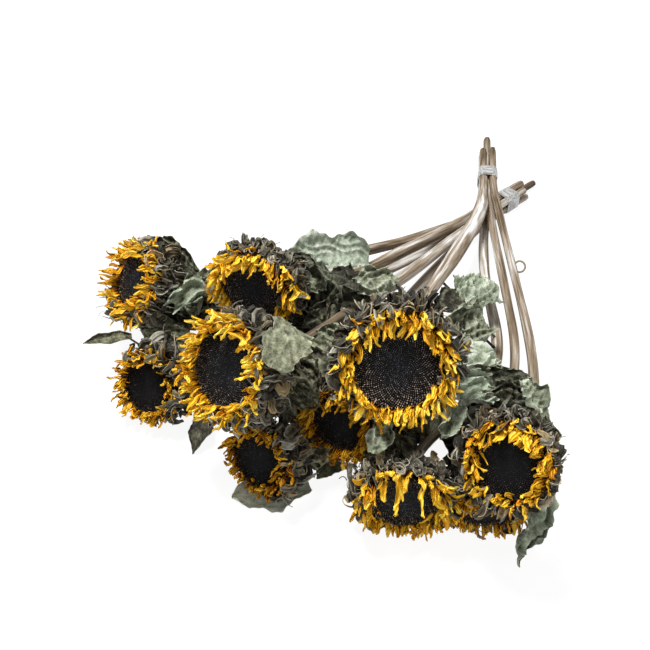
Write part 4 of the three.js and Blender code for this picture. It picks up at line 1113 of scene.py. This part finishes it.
neck_sheet = flat_sheet(20, 24)
bunch_middle = np.mean([head["centre"] for head in heads.values()], axis=0)
for number, count in NECK_LEAVES.items():
    draw = np.random.default_rng(150 + number)
    build = Build()
    line = stem_lines[number]
    for i in range(count):
        for trial in range(NECK_TRIALS):
            at = int((4 * MM + NECK * ((i + draw.uniform(0.1, 0.9)) / count) ** 1.4) / RING_STEP)
            stem_way = unit(line[at + 2] - line[at - 1])
            # They have been pressed in towards the middle of the bunch.
            aim = unit(bunch_middle - line[at]) + draw.normal(0, 0.6, 3)
            out = unit(np.cross(stem_way, np.cross(aim, stem_way)))
            along = unit(out + stem_way * draw.uniform(-1.1, 0.4) + [0, 0, draw.uniform(-0.3, 0.3)])
            scale = 1 - 0.025 * trial
            length, width = draw.uniform(30, 48) * scale, draw.uniform(24, 36) * scale
            bow, cup, phase = draw.uniform(-4, 6), draw.uniform(-3, 4), draw.uniform(0, 6)
            crush, curl = draw.uniform(3, 5), draw.uniform(1.4, 2.6)
            shape, look = leaf_form(neck_sheet, draw, length, width, bow, cup, 0, phase, crush, curl)
            root = (line[at] + out * STEM_RADIUS * 0.8) / MM
            points, spine, _ = bent(neck_sheet, root, along, facing_up(along), shape)
            lies = spine[:, 2].min() > 2 and points[:, 2].max() < root[2] + NECK_RISE
            lies = lies and points[:, 1].max() < layout_zero[1] / MM + BARE_FROM.get(number, 130)
            if lies and not over_a_head(points * MM, None, 0, NECK_AHEAD):
                if not in_the_way(spine[4:] * MM, number, 0.5 * MM, 1 * MM):
                    break
        else:
            continue
        tone = draw.uniform(0.0, 0.45) - NECK_SHADE.get(number, 0)
        take_leaf(build, neck_sheet, points * MM, look, tone, 30 * i, draw.uniform(0.2, 1))
    for start, end, width in PRESSED_LEAVES.get(number, ()):
        root, along = np.array(start, float) + layout_zero / MM, np.array(end, float) - start
        length = np.linalg.norm(along)
        along /= length
        phase, crush, curl = draw.uniform(0, 6), draw.uniform(2.5, 4), draw.uniform(0.6, 1.4)
        shape, look = leaf_form(neck_sheet, draw, length, width, 3, 2, 0, phase, crush, curl)
        points, _, _ = bent(neck_sheet, root, along, facing_up(along), shape)
        # Painted shade: pressed leaves are dark, nearly black for flowers 3, 6 and 7, where the flowers
        # crowd together.
        take_leaf(build, neck_sheet, points * MM, look, 0.3 if number < 3 else 0.05, 30 * width, 0.6)
        # Its stalk comes from the nearest part of any stem.
        seat = seat_in(neck_sheet, points) * MM
        path = (1 - STALK_SHARES) * np.array(stem_tree.find(seat)[0]) + STALK_SHARES * seat
        # Painted shade: the stalk is as dark as the ramp goes.
        take_stalk(build, path, 0.0, 0.6)
    build.piece(f"neck_leaves_{number}", leaf_skin, "leaf")

# ---- Ties -----------------------------------------------------------------------------------------
# Each handful of stems is held by a few turns of clear adhesive tape, pulled tight: milky where the
# turns overlap, with fine creases across it.

TAPE_WIDTH = 14.5 * MM
TAPE_TURNS = 3
TAPE_LAYER = 0.2 * MM


def clear_tape():
    """Clear polypropylene tape, wound over itself: milky, glossy, with grey crease lines."""
    made, tree, shader = new_material("clear_tape")
    grain = add(tree, "ShaderNodeAttribute", attribute_name="grain").outputs["Vector"]
    # Creases lie about 3 mm apart along the tape, and 6 mm across it.
    uneven = [("Vector", grain), ("Scale", 1.0), ("Detail", 4.0), ("Distortion", 1.2)]
    creases = add(tree, "ShaderNodeTexNoise", uneven)
    stops = [(0.35, "#A09D97"), (0.5, "#C4C3C0"), (0.64, "#F2F4F6")]
    ramp = add(tree, "ShaderNodeValToRGB", [("Fac", creases)], stops)
    set_surface(tree, shader, ramp.outputs["Color"], creases, 0.7, 0.5, 0.28)
    shader.inputs["Alpha"].default_value = 0.45
    return made


tape_skin = clear_tape()
for tie in ("a", "b"):
    draw = np.random.default_rng(90 + ord(tie))
    packed = points_of(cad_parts[f"tie_{tie}"].data)
    middle = (packed.min(0) + packed.max(0)) / 2
    near = []
    for line in stem_lines.values():
        i = np.argmin(np.linalg.norm(line - middle, axis=1))
        if np.linalg.norm(line[i] - middle) < 4 * STEM_RADIUS and 2 < i < len(line) - 3:
            near.append(unit(line[i + 2] - line[i - 2]))
    out = unit(np.mean(near, axis=0))
    side = unit(np.cross([0, 0, 1], out))
    up = np.cross(out, side)
    local = (packed - middle) @ np.array([side, up, out]).T
    turns = np.linspace(0, 2 * math.pi * TAPE_TURNS, 72 * TAPE_TURNS)
    # The outline that the tape is wound on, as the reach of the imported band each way.
    reach = np.array([(local[:, :2] @ [math.cos(a), math.sin(a)]).max() for a in turns])
    slope = np.gradient(reach, turns)
    cos, sin = np.cos(turns), np.sin(turns)
    loop = np.stack([reach * cos - slope * sin, reach * sin + slope * cos], axis=1)
    grow = 1 - 0.06 + 0.05 * np.arange(len(turns)) / len(turns)
    build = Build()
    shift = 0.8 * MM * np.sin(turns / 2.6 + draw.uniform(0, 6))
    bands = np.linspace(-1, 1, 9)
    points, grain = [], []
    for i in range(len(turns)):
        for layer in (-1, 1):
            for band in bands if layer < 0 else bands[::-1]:
                crease = 0.18 * MM * math.sin(5 * band + 9 * turns[i])
                crease += 0.12 * MM * math.sin(23 * turns[i] + 3 * band)
                inward = 1 + (layer * TAPE_LAYER / 2 + crease) / np.linalg.norm(loop[i])
                x, y = loop[i] * grow[i] * inward
                points.append(middle + side * x + up * y + out * (band * TAPE_WIDTH / 2 + shift[i]))
                grain.append([band * 1.2, turns[i] * 2.5, 0])
    build.take(np.array(points), lofted(len(turns), 2 * len(bands)), 0.5, np.array(grain))
    build.piece(f"tape_{tie}", tape_skin, "tape", f"tie_{tie}")

# ---- Table, light and camera --------------------------------------------------------------------
# A plain white table top under a large soft light from above, seen from in front and above.

bpy.ops.object.select_all(action="DESELECT")
bpy.ops.mesh.primitive_plane_add(size=8, location=(0, 0, -0.0002))
table_top = bpy.context.object
table_top.name = "table_top"
white, tree, shader = new_material("white_table")
shader.inputs["Base Color"].default_value = srgb("#707070")
shader.inputs["Roughness"].default_value = 0.9
shader.inputs["Emission Color"].default_value = srgb("#FFFFFF")
shader.inputs["Emission Strength"].default_value = 0.9
table_top.data.materials.append(white)

world = bpy.data.worlds.new("studio")
world.use_nodes = True
world.node_tree.nodes["Background"].inputs["Color"].default_value = srgb("#FFFFFF")
world.node_tree.nodes["Background"].inputs["Strength"].default_value = 0.36
bpy.context.scene.world = world

for name, place, size, power in [
    ("key", (-0.2, 0.12, 1.2), 0.3, 19),
    ("fill", (0.5, -0.8, 0.8), 0.9, 2),
]:
    light = bpy.data.lights.new(name, "AREA")
    light.size, light.energy = size, power
    lamp = bpy.data.objects.new(name, light)
    lamp.location = place
    lamp.rotation_euler = (Vector((0, -0.08, 0.03)) - Vector(place)).to_track_quat("-Z", "Y").to_euler()
    bpy.context.scene.collection.objects.link(lamp)

CAMERA_FROM_FLOWER_6 = np.array([-44, -361.5, 395]) * MM
camera_data = bpy.data.cameras.new("camera")
camera_data.sensor_width = 36
camera_data.lens = 48.74
camera = bpy.data.objects.new("camera", camera_data)
camera.location = heads[6]["centre"] + CAMERA_FROM_FLOWER_6
camera.rotation_euler = (math.radians(45), 0, 0)
bpy.context.scene.collection.objects.link(camera)
bpy.context.scene.camera = camera
bpy.context.scene.view_settings.view_transform = "Standard"
